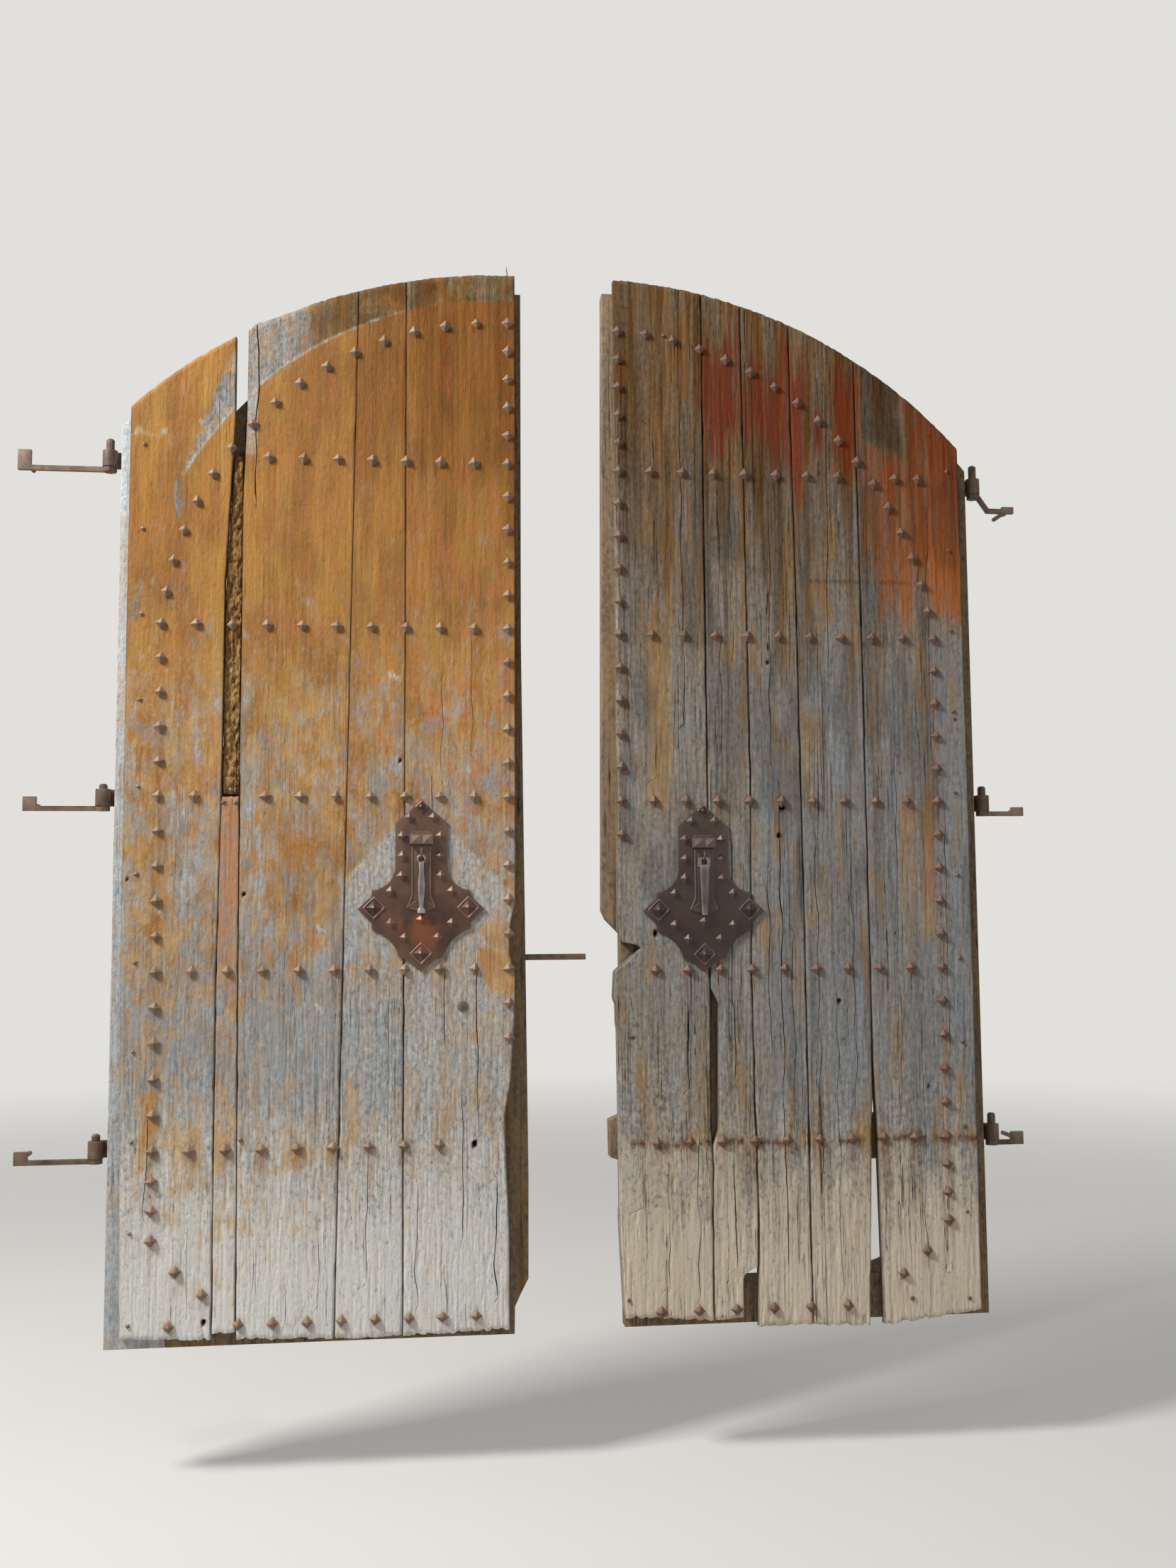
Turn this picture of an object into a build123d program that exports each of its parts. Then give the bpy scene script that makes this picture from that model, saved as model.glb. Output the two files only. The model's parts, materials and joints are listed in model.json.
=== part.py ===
from build123d import *
from math import acos, asin, cos, degrees, radians, sin, sqrt
import os

os.makedirs("parts", exist_ok=True)

# A round-headed plank door in two leaves, each hung on three iron pintles.
# Millimetres. A leaf is drawn from its front: u runs from the arch's centre line to the hinge
# side, y into the wall and z up from the planks' lower ends. The left leaf is mirrored.

# Leaves
leaf_width = 1030           # centre line of the arch to the planks' hinge edge
leaf_gap = 278              # between the planks of the two leaves, as they hang
plank_thickness = 30
frame_thickness = 45
seam_gap = 1.5              # between neighbouring planks
joint_gap = 0.4             # between the pieces of the rear framing
reach_below = -300          # lower end of the helper outlines
reach_above = 3100          # upper end of the helper outlines

# Rear framing
rail_height = 120
first_row = 490             # lowest of the five full rows of studs and rails
row_pitch = 460
row_count = 5
stile_proud = 30            # hinge stile beyond the planks' hinge edge
hinge_stile_width = 154
meeting_stile_width = 120
rib_width = 130
frame_setback = 15          # stile tops below the arch of the planks
tenon_length = 60
tenon_height = 70
brace_size = 215
brace_toe = 15              # brace's thickness at its two ends

# Studs and nails, all with square shanks that taper to a point
stud_size = 30
stud_height = 13
stud_shank = 8
stud_depth = 24
nail_size = 14
nail_height = 5
nail_shank = 4
nail_depth = 16
plate_stud_size = 24
plate_stud_height = 11
stud_pitch = 92
stud_columns = 11
low_stud_pitch = 75         # hinge column below the lowest full row
top_stud_pitch = 80         # meeting column above the highest full row
low_stud_count = 3
top_stud_count = 5
far_column_share = 0.76     # of the hinge stile's width, from its outer edge to the last column
left_lowest_stud = 740      # in the columns at the meeting edges
right_lowest_stud = 1300
bottom_stud_z = 48
nail_pitch = 230
nail_count = 11
nail_from_edge = 35
nail_foot = 55
top_nail_u = 21             # a long nail that stands up out of the left leaf's top edge
top_nail_size = 5
top_nail_length = 50
top_nail_driven = 22

# Strap hinges and pintles
pin_radius = 11
eye_clearance = 0.08        # between pin and eye, on the radius
strap_thickness = 8
strap_height = 45
strap_reach = 620           # strap length on the leaf, from the stile's outer edge
strap_point = 60
eye_wall = 9
eye_from_stile = 15
seat_gap = 0.3              # between moving pieces that rest on each other
arm_size = 13
boss_radius = 17
tail_width = 34
wall_face = 75              # the wall's surface, behind the planks' back
dowel_radius = 6
dowel_length = 60

# Height of the pin above the eye, arm length, tail height and drop of each pintle, lowest first
left_pintles = [(18, 205, 22, 0), (14, 205, 25, 0), (33, 240, 42, 0)]
right_pintles = [(30, 90, 22, 0), (26, 120, 12, 0), (40, 120, 6, 40)]

# Bolt and its staples
bolt_size = 16
bolt_height = 977
bolt_reach = 195            # bolt tip beyond the arch's centre line
bolt_length = 500
bolt_handle = 45
staple_bar = 6
staple_width = 25
bolt_clearance = 0.5

# Knockers, measured from the middle of the plate's lozenge
knocker_z = 1110
plate_thickness = 5
boss_size = 30
boss_height = 9
guide_thickness = 4
bracket_width = 62
bracket_height = 27
bracket_depth = 18
bracket_foot = 171
peak_width = 24
peak_height = 6
ring_radius = 13            # to the middle of its bar
ring_bar = 5                # square bar
ring_height = 148
ring_play = 1.2             # between ring and eye
ring_stand = 2              # hammer's back to the guide plate
eye_hole = 7
hammer_thickness = 6
hammer_tip = -12

# Worked out from the sizes above
stile_edge = leaf_width + stile_proud
stile_inner = stile_edge - hinge_stile_width
eye_bore = pin_radius + eye_clearance
eye_radius = eye_bore + eye_wall
strap_back = frame_thickness + strap_thickness
pivot_u = stile_edge + eye_from_stile + eye_radius
pivot_y = strap_back - eye_radius
arm_front = pivot_y - arm_size / 2
arm_back = pivot_y + arm_size / 2
plate_front = -plank_thickness - plate_thickness
guide_front = plate_front - guide_thickness
rows = [first_row + i * row_pitch for i in range(row_count)]
far_column = stile_edge - hinge_stile_width * far_column_share
ring_y = guide_front - hammer_thickness / 2 - ring_stand


# What differs between the two leaves
class Leaf:
    def __init__(self, name, near_edge, drop, foot, top, rib, stud_edge, arch_steps, lip, stile_line, knocker_u):
        self.name = name
        self.near_edge = near_edge              # planks' meeting edge
        self.drop = drop                        # how much lower this leaf hangs
        self.foot = foot                        # lower ends of the stiles and the bottom rail
        self.top_u, self.top_z, self.top_radius = top
        self.rib_u, self.rib_z, rib_inset = rib
        self.rib_radius = leaf_width - rib_inset - self.rib_u
        self.stud_edge = stud_edge              # stud column at the meeting edge
        self.arch_steps = arch_steps            # spaces between the studs of the arch
        self.lip_edge = lip + meeting_stile_width       # meeting stile's far side
        self.stile_line = stile_line            # meeting stile's torn outer edge
        self.knocker_u = knocker_u


# Outer edges of the meeting stiles from the bottom up, with their broken ends
left_lip = [(6, -10), (5, 60), (-12, 96), (-31, 132), (-32, 400), (-26, 990), (-16, 1850), (-17, 2826)]
right_lip = [(50, 6), (46, 440), (14, 452), (12, 549), (44, 562), (45, 1050), (8, 1088), (-3, 1112),
             (3, 1860), (9, 2850)]

left = Leaf("left", 0, 0, left_lip[0][1], (0, 2870, 1510), (23, 1810, 87), 21, 16, -25, left_lip, 255)
right = Leaf("right", 40, 10, right_lip[0][1], (-5, 2881, 1400), (-20, 1770, 84), 50, 17, 4, right_lip, 273)

# Plank edges from the bottom up. Each plank lies between its near and its far edge, in u and z.
left_planks = [
    ([(20, 7), (21, 250), (28, 440), (32, 560), (15, 660), (4, 830), (3, 930), (18, 985), (17, 1060),
      (3, 1130), (0, reach_above)],
     [(300, 1), (300, reach_above)]),
    ([(300, 1), (300, reach_above)],
     [(476, 0), (430, 2812), (426, reach_above)]),
    ([(476, 0), (430, 2812), (426, reach_above)],
     [(726, 7), (732, 890), (735, 2200), (727, 2430), (724, reach_above)]),
    ([(787, 9), (788, 900), (781, 1412), (779, 1983), (764, 2295), (758, 2421), (758, reach_above)],
     [(leaf_width - 12, 20), (leaf_width + 2, 900), (leaf_width + 4, 2000), (leaf_width, reach_above)]),
]
right_planks = [
    ([(48, 33), (44, 54), (33, 287), (31, 571), (28, 859), (21, 878), (25, 950), (66, 982), (103, 1016),
      (45, 1026), (36, 1060), (37, 1371), (40, 2460), (37, reach_above)],
     [(288, 19), (290, 479), (286, 523), (288, 884), (289, reach_above)]),
    ([(288, 19), (290, 479), (305, 523), (310, 860), (289, 900), (289, reach_above)],
     [(369, 23), (371, 132), (386, 148), (410, 156), (413, 347), (408, 600), (404, 932), (409, 1482),
      (403, 2472), (398, reach_above)]),
    ([(410, -3), (413, 347), (408, 600), (404, 932), (409, 1482), (403, 2472), (398, reach_above)],
     [(558, -4), (555, 1004), (549, 1880), (541, 2541), (539, reach_above)]),
    ([(558, -4), (555, 1004), (549, 1880), (541, 2541), (539, reach_above)],
     [(716, -10), (736, 600), (738, 876), (735, 1883), (728, 2686), (726, reach_above)]),
    ([(757, -12), (748, 500), (740, 660), (738, 876), (735, 1883), (728, 2686), (726, reach_above)],
     [(leaf_width, 20), (leaf_width + 3, 1100), (leaf_width + 2, 1700), (leaf_width - 3, reach_above)]),
]
# Second plank of the right leaf: the tongue that its broken front edge lays bare
tongue_outline = [(290, 479), (286, 523), (288, 884), (289, 900), (312, 860), (308, 523)]
tongue_thickness = 12
filler_outline = [(730, 25), (784, 25), (785, 900), (778, 1408), (735, 1411), (736, 900)]
rotten_outline = [(737, 1414), (776, 1415), (771, 1560), (776, 1720), (774, 1980), (765, 2180), (762, 2290),
                  (752, 2352), (738, 2330), (742, 2150), (738, 1950), (744, 1800), (738, 1600)]
rotten_recess = 5           # rotten strip's face behind the planks' face
slot_strip = (740, 764)     # across the channel that holds the rotten strip

# Fastenings off the regular rows, and the ones that have been lost
left_bottom_studs = [109 + i * 87.2 for i in range(10)]
right_bottom_studs = [145 + i * 102 for i in range(6)]
brace_studs = [(880, 185), (812, 126)]
left_lost = [(left_bottom_studs[8], 55), (113, first_row)]
left_nails = [(744, 1393), (775, 1394), (757, 1427), (720, 515)]
right_nails = [(180, 2722), (834, 60), (58, 82)]

# Knocker plate, right half from the top tip down, with the concave shoulders as arcs
plate_studs = [(32, 244), (51, 194), (50, 141), (52, 88), (81, 47), (81, -38), (44, -76)]
striking_stud = (0, -29)
plate_bosses = [(-125, 3), (125, 3), (0, -118)]


# A closed outline as a flat face
def outline(points):
    return make_face(Polyline(*points, close=True))


# A face drawn in u and z becomes a board between two depths
def board(face, front, back):
    return extrude(Plane.XZ.offset(-back) * face, amount=back - front)


# Everything below a round arch
def under_arch(centre_u, centre_z, radius):
    below = Pos(centre_u, (centre_z + reach_below) / 2) * Rectangle(2 * radius, centre_z - reach_below)
    return below + Pos(centre_u, centre_z) * Circle(radius)


def under_top(leaf, setback=0):
    radius = leaf.top_radius
    return under_arch(leaf.top_u, leaf.top_z - radius, radius - setback)


# The rib's ring filled in, above its springing line
def rib_disc(leaf, radius):
    above = Pos(leaf.rib_u, leaf.rib_z + radius) * Rectangle(4 * radius, 2 * radius)
    return Pos(leaf.rib_u, leaf.rib_z) * Circle(radius) & above


# A wrought stud: four-sided head on the face y = 0, tapering square shank behind it
def stud(size, height, shank, depth):
    half, thin = size / 2, shank / 2
    corners = [(-half, 0, -half), (half, 0, -half), (half, 0, half), (-half, 0, half)]
    root = [(-thin, 0, -thin), (thin, 0, -thin), (thin, 0, thin), (-thin, 0, thin)]
    peak, point = (0, -height, 0), (0, depth, 0)
    faces = [Face(Wire.make_polygon(corners), [Wire.make_polygon(root)])]
    for i in range(4):
        j = (i + 1) % 4
        faces.append(Face(Wire.make_polygon([corners[i], corners[j], peak])))
        faces.append(Face(Wire.make_polygon([root[i], root[j], point])))
    return Solid(Shell(faces))


# The pit that a stud's shank fills, its mouth in the face y = 0
def pit(shank, depth):
    thin = shank / 2
    root = [(-thin, 0, -thin), (thin, 0, -thin), (thin, 0, thin), (-thin, 0, thin)]
    faces = [Face(Wire.make_polygon(root))]
    for i in range(4):
        faces.append(Face(Wire.make_polygon([root[i], root[(i + 1) % 4], (0, depth, 0)])))
    return Solid(Shell(faces))


# Columns of studs across a leaf, from its meeting edge to the middle of its hinge stile
def stud_column(leaf, index):
    return leaf.stud_edge + (far_column - leaf.stud_edge) * index / (stud_columns - 1)


# Studs along the rib, between the two ends that the stud columns already have
def arch_places(leaf):
    start = degrees(acos((leaf.stud_edge - leaf.rib_u) / leaf.rib_radius))
    end = degrees(asin((rows[3] - leaf.rib_z) / leaf.rib_radius))
    places = []
    for i in range(1, leaf.arch_steps):
        angle = radians(start + (end - start) * i / leaf.arch_steps)
        places.append((leaf.rib_u + leaf.rib_radius * cos(angle), leaf.rib_z + leaf.rib_radius * sin(angle)))
    return places


# Studs down the two edges of a leaf, without the ones that the full rows have
def edge_places(leaf, lowest_near):
    near, far = leaf.stud_edge, far_column
    steps = round((rows[-1] - first_row) / stud_pitch)
    heights = [first_row + i * stud_pitch for i in range(steps + 1)]
    places = [(near, z) for z in heights if z > lowest_near and min(abs(z - r) for r in rows) > stud_size]
    places += [(far, z) for z in heights if z < rows[3] and min(abs(z - r) for r in rows) > stud_size]
    places += [(far, first_row - i * low_stud_pitch) for i in range(1, low_stud_count + 1)]
    places += [(near, rows[-1] + i * top_stud_pitch) for i in range(1, top_stud_count + 1)]
    return places + arch_places(leaf) + brace_studs


def left_places():
    places = edge_places(left, left_lowest_stud)
    kept = [range(2, 11), range(11), [0, 1, 2, 3, 4, 5, 6, 7, 9, 10], range(11), range(8)]
    for z, columns in zip(rows, kept):
        places += [(stud_column(left, i), z) for i in columns]
    places += [(u, bottom_stud_z) for i, u in enumerate(left_bottom_studs) if i != 8]
    return places


def right_places():
    places = edge_places(right, right_lowest_stud)
    kept = [range(1, 11), range(1, 11), range(11), range(11), range(8)]
    for z, columns in zip(rows, kept):
        places += [(stud_column(right, i), z) for i in columns]
    places += [(842, rows[-1]), (908, rows[-1])]
    places += [(u, bottom_stud_z) for u in right_bottom_studs]
    return places


def nail_places(extra):
    column = [(leaf_width - nail_from_edge, nail_foot + i * nail_pitch) for i in range(nail_count)]
    return column + extra


# The depth of the wood's face at a fastening
def seat(leaf, u, z):
    on_rot = leaf is left and slot_strip[0] < u < slot_strip[1] and z > rotten_outline[0][1]
    return -plank_thickness + (rotten_recess if on_rot else 0)


def put(leaf, shape, places):
    return [Pos(u, seat(leaf, u, z), z) * shape for u, z in places]


# Takes out of a solid those tools that its own box meets
def cut(solid, tools):
    box = solid.bounding_box()
    near = []
    for tool in tools:
        middle = tool.bounding_box()
        if middle.max.X > box.min.X and middle.min.X < box.max.X and middle.max.Z > box.min.Z:
            near.append(tool)
    return solid - near if near else solid


def plank(leaf, edges, pits):
    near, far = edges
    gap = seam_gap / 2
    points = [(u + gap, z) for u, z in near] + [(u - gap, z) for u, z in reversed(far)]
    solid = board(outline(points) & under_top(leaf), -plank_thickness, 0)
    if edges is right_planks[1]:
        solid += board(Pos(gap, 0) * outline(tongue_outline), -tongue_thickness, 0)
    return cut(solid, pits)


# The flat tenon on one end of a rail, and with a clearance the mortise that takes it
def tenon(start_u, direction, z, clearance=0):
    thickness = frame_thickness / 3 + 2 * clearance
    length = tenon_length + clearance
    block = Box(length, thickness, tenon_height + 2 * clearance)
    return Pos(start_u + direction * length / 2, frame_thickness / 2, z) * block


def rail_heights(leaf):
    return rows + [leaf.foot + rail_height / 2]


# Heights of the rails that reach the hinge stile below the rib
def low_rails(leaf):
    return [z for z in rail_heights(leaf) if z + rail_height / 2 < leaf.rib_z]


def hinge_stile(leaf):
    middle_u = (stile_edge + stile_inner) / 2
    middle_z = (reach_above + leaf.foot) / 2
    face = Pos(middle_u, middle_z) * Rectangle(hinge_stile_width, reach_above - leaf.foot)
    face = face & under_top(leaf, frame_setback)
    face = face - rib_disc(leaf, leaf.rib_radius + rib_width / 2 + joint_gap)
    solid = board(face, 0, frame_thickness)
    for z in low_rails(leaf):
        solid -= tenon(stile_inner, 1, z, joint_gap)
    return solid


def meeting_stile(leaf):
    top = leaf.stile_line[-1][1]
    face = outline(leaf.stile_line + [(leaf.lip_edge, top), (leaf.lip_edge, leaf.foot)])
    solid = board(face & under_top(leaf, frame_setback), 0, frame_thickness)
    for z in rail_heights(leaf):
        solid -= tenon(leaf.lip_edge, -1, z, joint_gap)
    return solid


def arch_rib(leaf):
    outer = rib_disc(leaf, leaf.rib_radius + rib_width / 2)
    inner = rib_disc(leaf, leaf.rib_radius - rib_width / 2)
    far = leaf.lip_edge + joint_gap + leaf.rib_radius
    beyond = Pos(far, leaf.rib_z + joint_gap + leaf.rib_radius) * Rectangle(
        2 * leaf.rib_radius, 2 * leaf.rib_radius)
    return board((outer - inner) & beyond, 0, frame_thickness)


# A rail between the stiles, ending on the rib where it is above the springing
def rail(leaf, z):
    near, far = leaf.lip_edge + joint_gap, stile_inner - joint_gap
    face = Pos((near + far) / 2, z) * Rectangle(far - near, rail_height)
    low = z + rail_height / 2 < leaf.rib_z
    if not low:
        inside = under_arch(leaf.rib_u, leaf.rib_z, leaf.rib_radius - rib_width / 2 - joint_gap)
        face = face & inside
    solid = board(face, 0, frame_thickness) + tenon(near, -1, z)
    if low:
        solid += tenon(far, 1, z)
    return solid


# The hollow-cornered piece between hinge stile and bottom rail
def corner_brace(leaf):
    u, z = stile_inner - joint_gap, leaf.foot + rail_height + joint_gap
    square = Pos(u - brace_size / 2, z + brace_size / 2) * Rectangle(brace_size, brace_size)
    face = square - Pos(u - brace_size, z + brace_size) * Circle(brace_size - brace_toe)
    return board(face, 0, frame_thickness)


# A long strap on the frame's back, with a point at one end and a rolled eye at the other
def strap(z):
    start = stile_edge - strap_reach
    bar = Pos((start + pivot_u) / 2, (frame_thickness + strap_back) / 2) * Rectangle(
        pivot_u - start, strap_thickness)
    profile = bar + Pos(pivot_u, pivot_y) * Circle(eye_radius) - Pos(pivot_u, pivot_y) * Circle(eye_bore)
    low = z - strap_height / 2
    solid = extrude(Plane.XY.offset(low) * profile, amount=strap_height)
    half = strap_height / 2
    far = pivot_u + eye_radius + 1
    side = outline([(start, z), (start + strap_point, z - half - 1), (far, z - half - 1),
                    (far, z + half + 1), (start + strap_point, z + half + 1)])
    return solid & board(side, -plank_thickness, strap_back + 1)


# A pintle: pin on a boss, arm along the wall, turned-up tail, and a square neck to the wall's dowel
def pintle(z, rise, length, tail_rise, drop=0):
    shoulder = z - strap_height / 2 - seat_gap
    top = z + strap_height / 2 + rise
    pin = Pos(pivot_u, pivot_y, shoulder) * Cylinder(
        pin_radius, top - shoulder, align=(Align.CENTER, Align.CENTER, Align.MIN))
    pin = chamfer(pin.edges().sort_by(Axis.Z)[-1], pin_radius * 0.4)
    boss = extrude(Plane.XY.offset(shoulder - arm_size) * Pos(pivot_u, pivot_y) * RegularPolygon(
        boss_radius, 8, major_radius=False), amount=arm_size)
    level = shoulder - drop
    end = pivot_u + length
    crank_start, crank_end = pivot_u + boss_radius, pivot_u + boss_radius + drop * 0.7
    upper = [(crank_start, shoulder), (crank_end, level)] if drop else []
    lean = arm_size * 0.4
    lower = [(u - lean, z - arm_size) for u, z in reversed(upper)]
    points = [(pivot_u, shoulder)] + upper
    points += [(end - tail_width, level), (end - tail_width, level + tail_rise), (end, level + tail_rise)]
    points += [(end, level - arm_size)] + lower + [(pivot_u, shoulder - arm_size)]
    arm = board(outline(points), arm_front, arm_back)
    centre = Pos(end - tail_width / 2, level + (tail_rise - arm_size) / 2)
    neck = board(centre * Rectangle(arm_size, arm_size), pivot_y, wall_face)
    dowel = board(centre * Circle(dowel_radius), wall_face, wall_face + dowel_length)
    return pin + boss + arm + neck + dowel


# A flat staple over a square bar on the frame's back, its legs against the wood
def staple(u, z):
    inner = bolt_size / 2 + bolt_clearance
    outer = inner + staple_bar
    crown = frame_thickness + seat_gap + bolt_size + bolt_clearance
    face = Rectangle(2 * outer, crown + staple_bar - frame_thickness, align=(Align.CENTER, Align.MIN))
    face -= Rectangle(2 * inner, crown - frame_thickness, align=(Align.CENTER, Align.MIN))
    side = Plane(origin=(u + staple_width / 2, frame_thickness, z), x_dir=(0, 0, 1), z_dir=(-1, 0, 0))
    return extrude(side * face, amount=staple_width)


# The sliding bolt, stopped by its turned-up handle against the second staple
def bolt():
    front = frame_thickness + seat_gap
    start = -bolt_reach
    bar = Pos(start, front, bolt_height) * Box(
        bolt_length, bolt_size, bolt_size, align=(Align.MIN, Align.MIN, Align.CENTER))
    handle = Pos(start + bolt_length - bolt_size, front, bolt_height) * Box(
        bolt_size, bolt_size, bolt_handle + bolt_size / 2, align=(Align.MIN, Align.MIN, Align.MIN))
    return bar + handle


def bolt_staples():
    second = bolt_length - bolt_reach - bolt_size - seat_gap - staple_width / 2
    return Compound([staple(left.lip_edge - meeting_stile_width / 2, bolt_height), staple(second, bolt_height)])


# The keeper on the right leaf, which takes the bolt when the door is shut
def keeper():
    return staple(right.lip_edge - meeting_stile_width / 2, bolt_height + right.drop)


# Half the knocker plate, from its top tip down the right side to its lower tip
def half_plate():
    rim = [
        Polyline((0, -167), (0, 294), (19, 274), (32, 262), (70, 230), (70, 105)),
        ThreePointArc((70, 105), (88, 68), (132, 49)),
        Polyline((132, 49), (132, 32), (170, 0), (132, -38), (132, -55)),
        ThreePointArc((132, -55), (86, -80), (59, -129)),
        Polyline((59, -129), (38, -135), (0, -167)),
    ]
    return make_face(rim)


# A four-sided peak in front of the face y = 0
def peak(corners, height):
    rim = [(u, 0, z) for u, z in corners]
    faces = [Face(Wire.make_polygon(rim))]
    for i in range(4):
        faces.append(Face(Wire.make_polygon([rim[i], rim[(i + 1) % 4], (0, -height, 0)])))
    return Solid(Shell(faces))


# A low diamond that stands proud of the plate
def boss(u, z):
    corners = [(-boss_size, 0), (0, -boss_size), (boss_size, 0), (0, boss_size)]
    return Pos(u, plate_front, z) * peak(corners, boss_height)


def at_knocker(leaf):
    return Pos(leaf.knocker_u, 0, knocker_z)


# Nails of the plate, both halves and the striking stud
def plate_stud_places():
    return plate_studs + [(-u, z) for u, z in plate_studs] + [striking_stud]


def knocker_plate(leaf):
    half = half_plate()
    solid = board(half + mirror(half, Plane.YZ), plate_front, -plank_thickness)
    for u, z in plate_bosses:
        solid += boss(u, z)
    return at_knocker(leaf) * solid


# The raised plate behind the hammer, with its splayed foot and the hanging ring
def knocker_guide(leaf):
    face = outline([(-26, 170), (26, 170), (26, 34), (40, 2), (0, -8), (-40, 2), (-26, 34)])
    solid = board(face, guide_front, plate_front)
    bar = Plane.XZ.offset(-ring_y) * Pos(0, ring_height - ring_radius) * Rectangle(ring_bar, ring_bar)
    ring = revolve(bar, Axis((0, ring_y, ring_height), (1, 0, 0)), 360)
    front_half = Pos(0, guide_front, ring_height) * Box(
        60, 60, 60, align=(Align.CENTER, Align.MAX, Align.CENTER))
    return at_knocker(leaf) * (solid + (ring & front_half))


# The heavy block above the hammer, with two small peaks on its face
def knocker_bracket(leaf):
    block = Pos(0, plate_front, bracket_foot) * Box(
        bracket_width, bracket_depth, bracket_height, align=(Align.CENTER, Align.MAX, Align.MIN))
    half, tall = peak_width / 2, bracket_height / 2 - 2
    corners = [(-half, -tall), (half, -tall), (half, tall), (-half, tall)]
    for side in (-1, 1):
        u, z = side * bracket_width / 4, bracket_foot + bracket_height / 2
        block += Pos(u, plate_front - bracket_depth, z) * peak(corners, peak_height)
    return at_knocker(leaf) * block


# The hammer hangs by its eye on the ring; the right one has a squared eye and a straight arm
def hammer(leaf):
    front, back = ring_y - hammer_thickness / 2, ring_y + hammer_thickness / 2
    hole_z = ring_height - (ring_radius - ring_bar / 2) + ring_play - eye_hole
    bar_top = hole_z + eye_hole + hammer_thickness
    hole = Pos(0, hole_z) * Circle(eye_hole)
    if leaf is left:
        eye = Pos(0, hole_z) * Circle(eye_hole + hammer_thickness) - hole
        arm = outline([(-7, hole_z - 10), (-6, 98), (-9, 70), (-8, 35), (-5, 4), (-11, -2), (-11, hammer_tip),
                       (11, hammer_tip), (11, -2), (5, 4), (8, 35), (9, 70), (6, 98), (7, hole_z - 10)])
    else:
        width = 18
        eye = outline([(-width, bar_top), (width, bar_top), (width, 118), (-width, 118)]) - hole
        arm = outline([(-13, 119), (-8, hammer_tip), (8, hammer_tip), (13, 119)])
    head = outline([(-11, -2), (-11, hammer_tip), (11, hammer_tip), (11, -2)])
    solid = board(eye, front, back) + board(arm, front - 3, back)
    solid += board(head, front - 5, guide_front - seat_gap)
    return at_knocker(leaf) * solid


# Puts a leaf's solid where it hangs. The origin is the left leaf's lowest dowel in the wall's face.
low_dowel_u = pivot_u + left_pintles[0][1] - tail_width / 2
low_dowel_z = first_row - strap_height / 2 - seat_gap + (left_pintles[0][2] - arm_size) / 2
origin = Pos(leaf_gap / 2 + low_dowel_u, -wall_face, -low_dowel_z)


def save(leaf, name, shape):
    if leaf is left:
        placed = Pos(-leaf_gap / 2, 0, 0) * mirror(shape, Plane.YZ)
    else:
        placed = Pos(leaf_gap / 2 - leaf.near_edge, 0, -leaf.drop) * shape
    export_step(origin * placed, f"parts/{leaf.name}_{name}.step")


big_stud, big_pit = stud(stud_size, stud_height, stud_shank, stud_depth), pit(stud_shank, stud_depth)
nail, nail_pit = stud(nail_size, nail_height, nail_shank, nail_depth), pit(nail_shank, nail_depth)
half_plate_stud = plate_stud_size / 2
plate_stud = peak([(-half_plate_stud, -half_plate_stud), (half_plate_stud, -half_plate_stud),
                   (half_plate_stud, half_plate_stud), (-half_plate_stud, half_plate_stud)], plate_stud_height)


# The long nail in the left leaf's top edge
def top_nail():
    foot = left.top_z - left.top_radius + sqrt(left.top_radius ** 2 - (top_nail_u - left.top_u) ** 2)
    return Pos(top_nail_u, -plank_thickness / 2, foot - top_nail_driven) * Box(
        top_nail_size, top_nail_size, top_nail_length, align=(Align.CENTER, Align.CENTER, Align.MIN))


# Studs, small nails and planks, with a pit for every fastening that is or was there
def front_of_leaf(leaf, places, nails, lost, planks, extra):
    studs = put(leaf, big_stud, places)
    small = put(leaf, nail, nails) + extra
    pits = put(leaf, big_pit, places + lost) + put(leaf, nail_pit, nails) + extra
    for number, edges in enumerate(planks, 1):
        save(leaf, f"plank_{number}", plank(leaf, edges, pits))
    save(leaf, "studs", Compound(studs))
    save(leaf, "small_nails", Compound(small))
    return pits


def framing(leaf):
    save(leaf, "hinge_stile", hinge_stile(leaf))
    save(leaf, "meeting_stile", meeting_stile(leaf))
    save(leaf, "arch_rib", arch_rib(leaf))
    save(leaf, "corner_brace", corner_brace(leaf))
    for number, z in enumerate(rows, 1):
        save(leaf, f"rail_{number}", rail(leaf, z))
    save(leaf, "bottom_rail", rail(leaf, rail_heights(leaf)[-1]))


def knocker(leaf):
    save(leaf, "knocker_plate", knocker_plate(leaf))
    nails = Compound([Pos(u, plate_front, z) * plate_stud for u, z in plate_stud_places()])
    save(leaf, "plate_studs", at_knocker(leaf) * nails)
    save(leaf, "knocker_guide", knocker_guide(leaf))
    save(leaf, "knocker_bracket", knocker_bracket(leaf))
    save(leaf, "hammer", hammer(leaf))


def hinges(leaf, pintles):
    for number, (rise, length, tail_rise, drop) in enumerate(pintles, 1):
        z = rows[2 * number - 2]
        save(leaf, f"strap_{number}", strap(z))
        save(leaf, f"pintle_{number}", pintle(z, rise, length, tail_rise, drop))


pits = front_of_leaf(left, left_places(), nail_places(left_nails), left_lost, left_planks, [top_nail()])
front_of_leaf(right, right_places(), nail_places(right_nails), [], right_planks, [])
save(left, "filler_strip", cut(board(outline(filler_outline), -plank_thickness, 0), pits))
save(left, "rotten_strip", cut(board(outline(rotten_outline), -plank_thickness + rotten_recess, 0), pits))
for leaf, pintles in ((left, left_pintles), (right, right_pintles)):
    framing(leaf)
    knocker(leaf)
    hinges(leaf, pintles)
save(left, "bolt", bolt())
save(left, "bolt_staples", bolt_staples())
save(right, "bolt_keeper", keeper())
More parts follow.
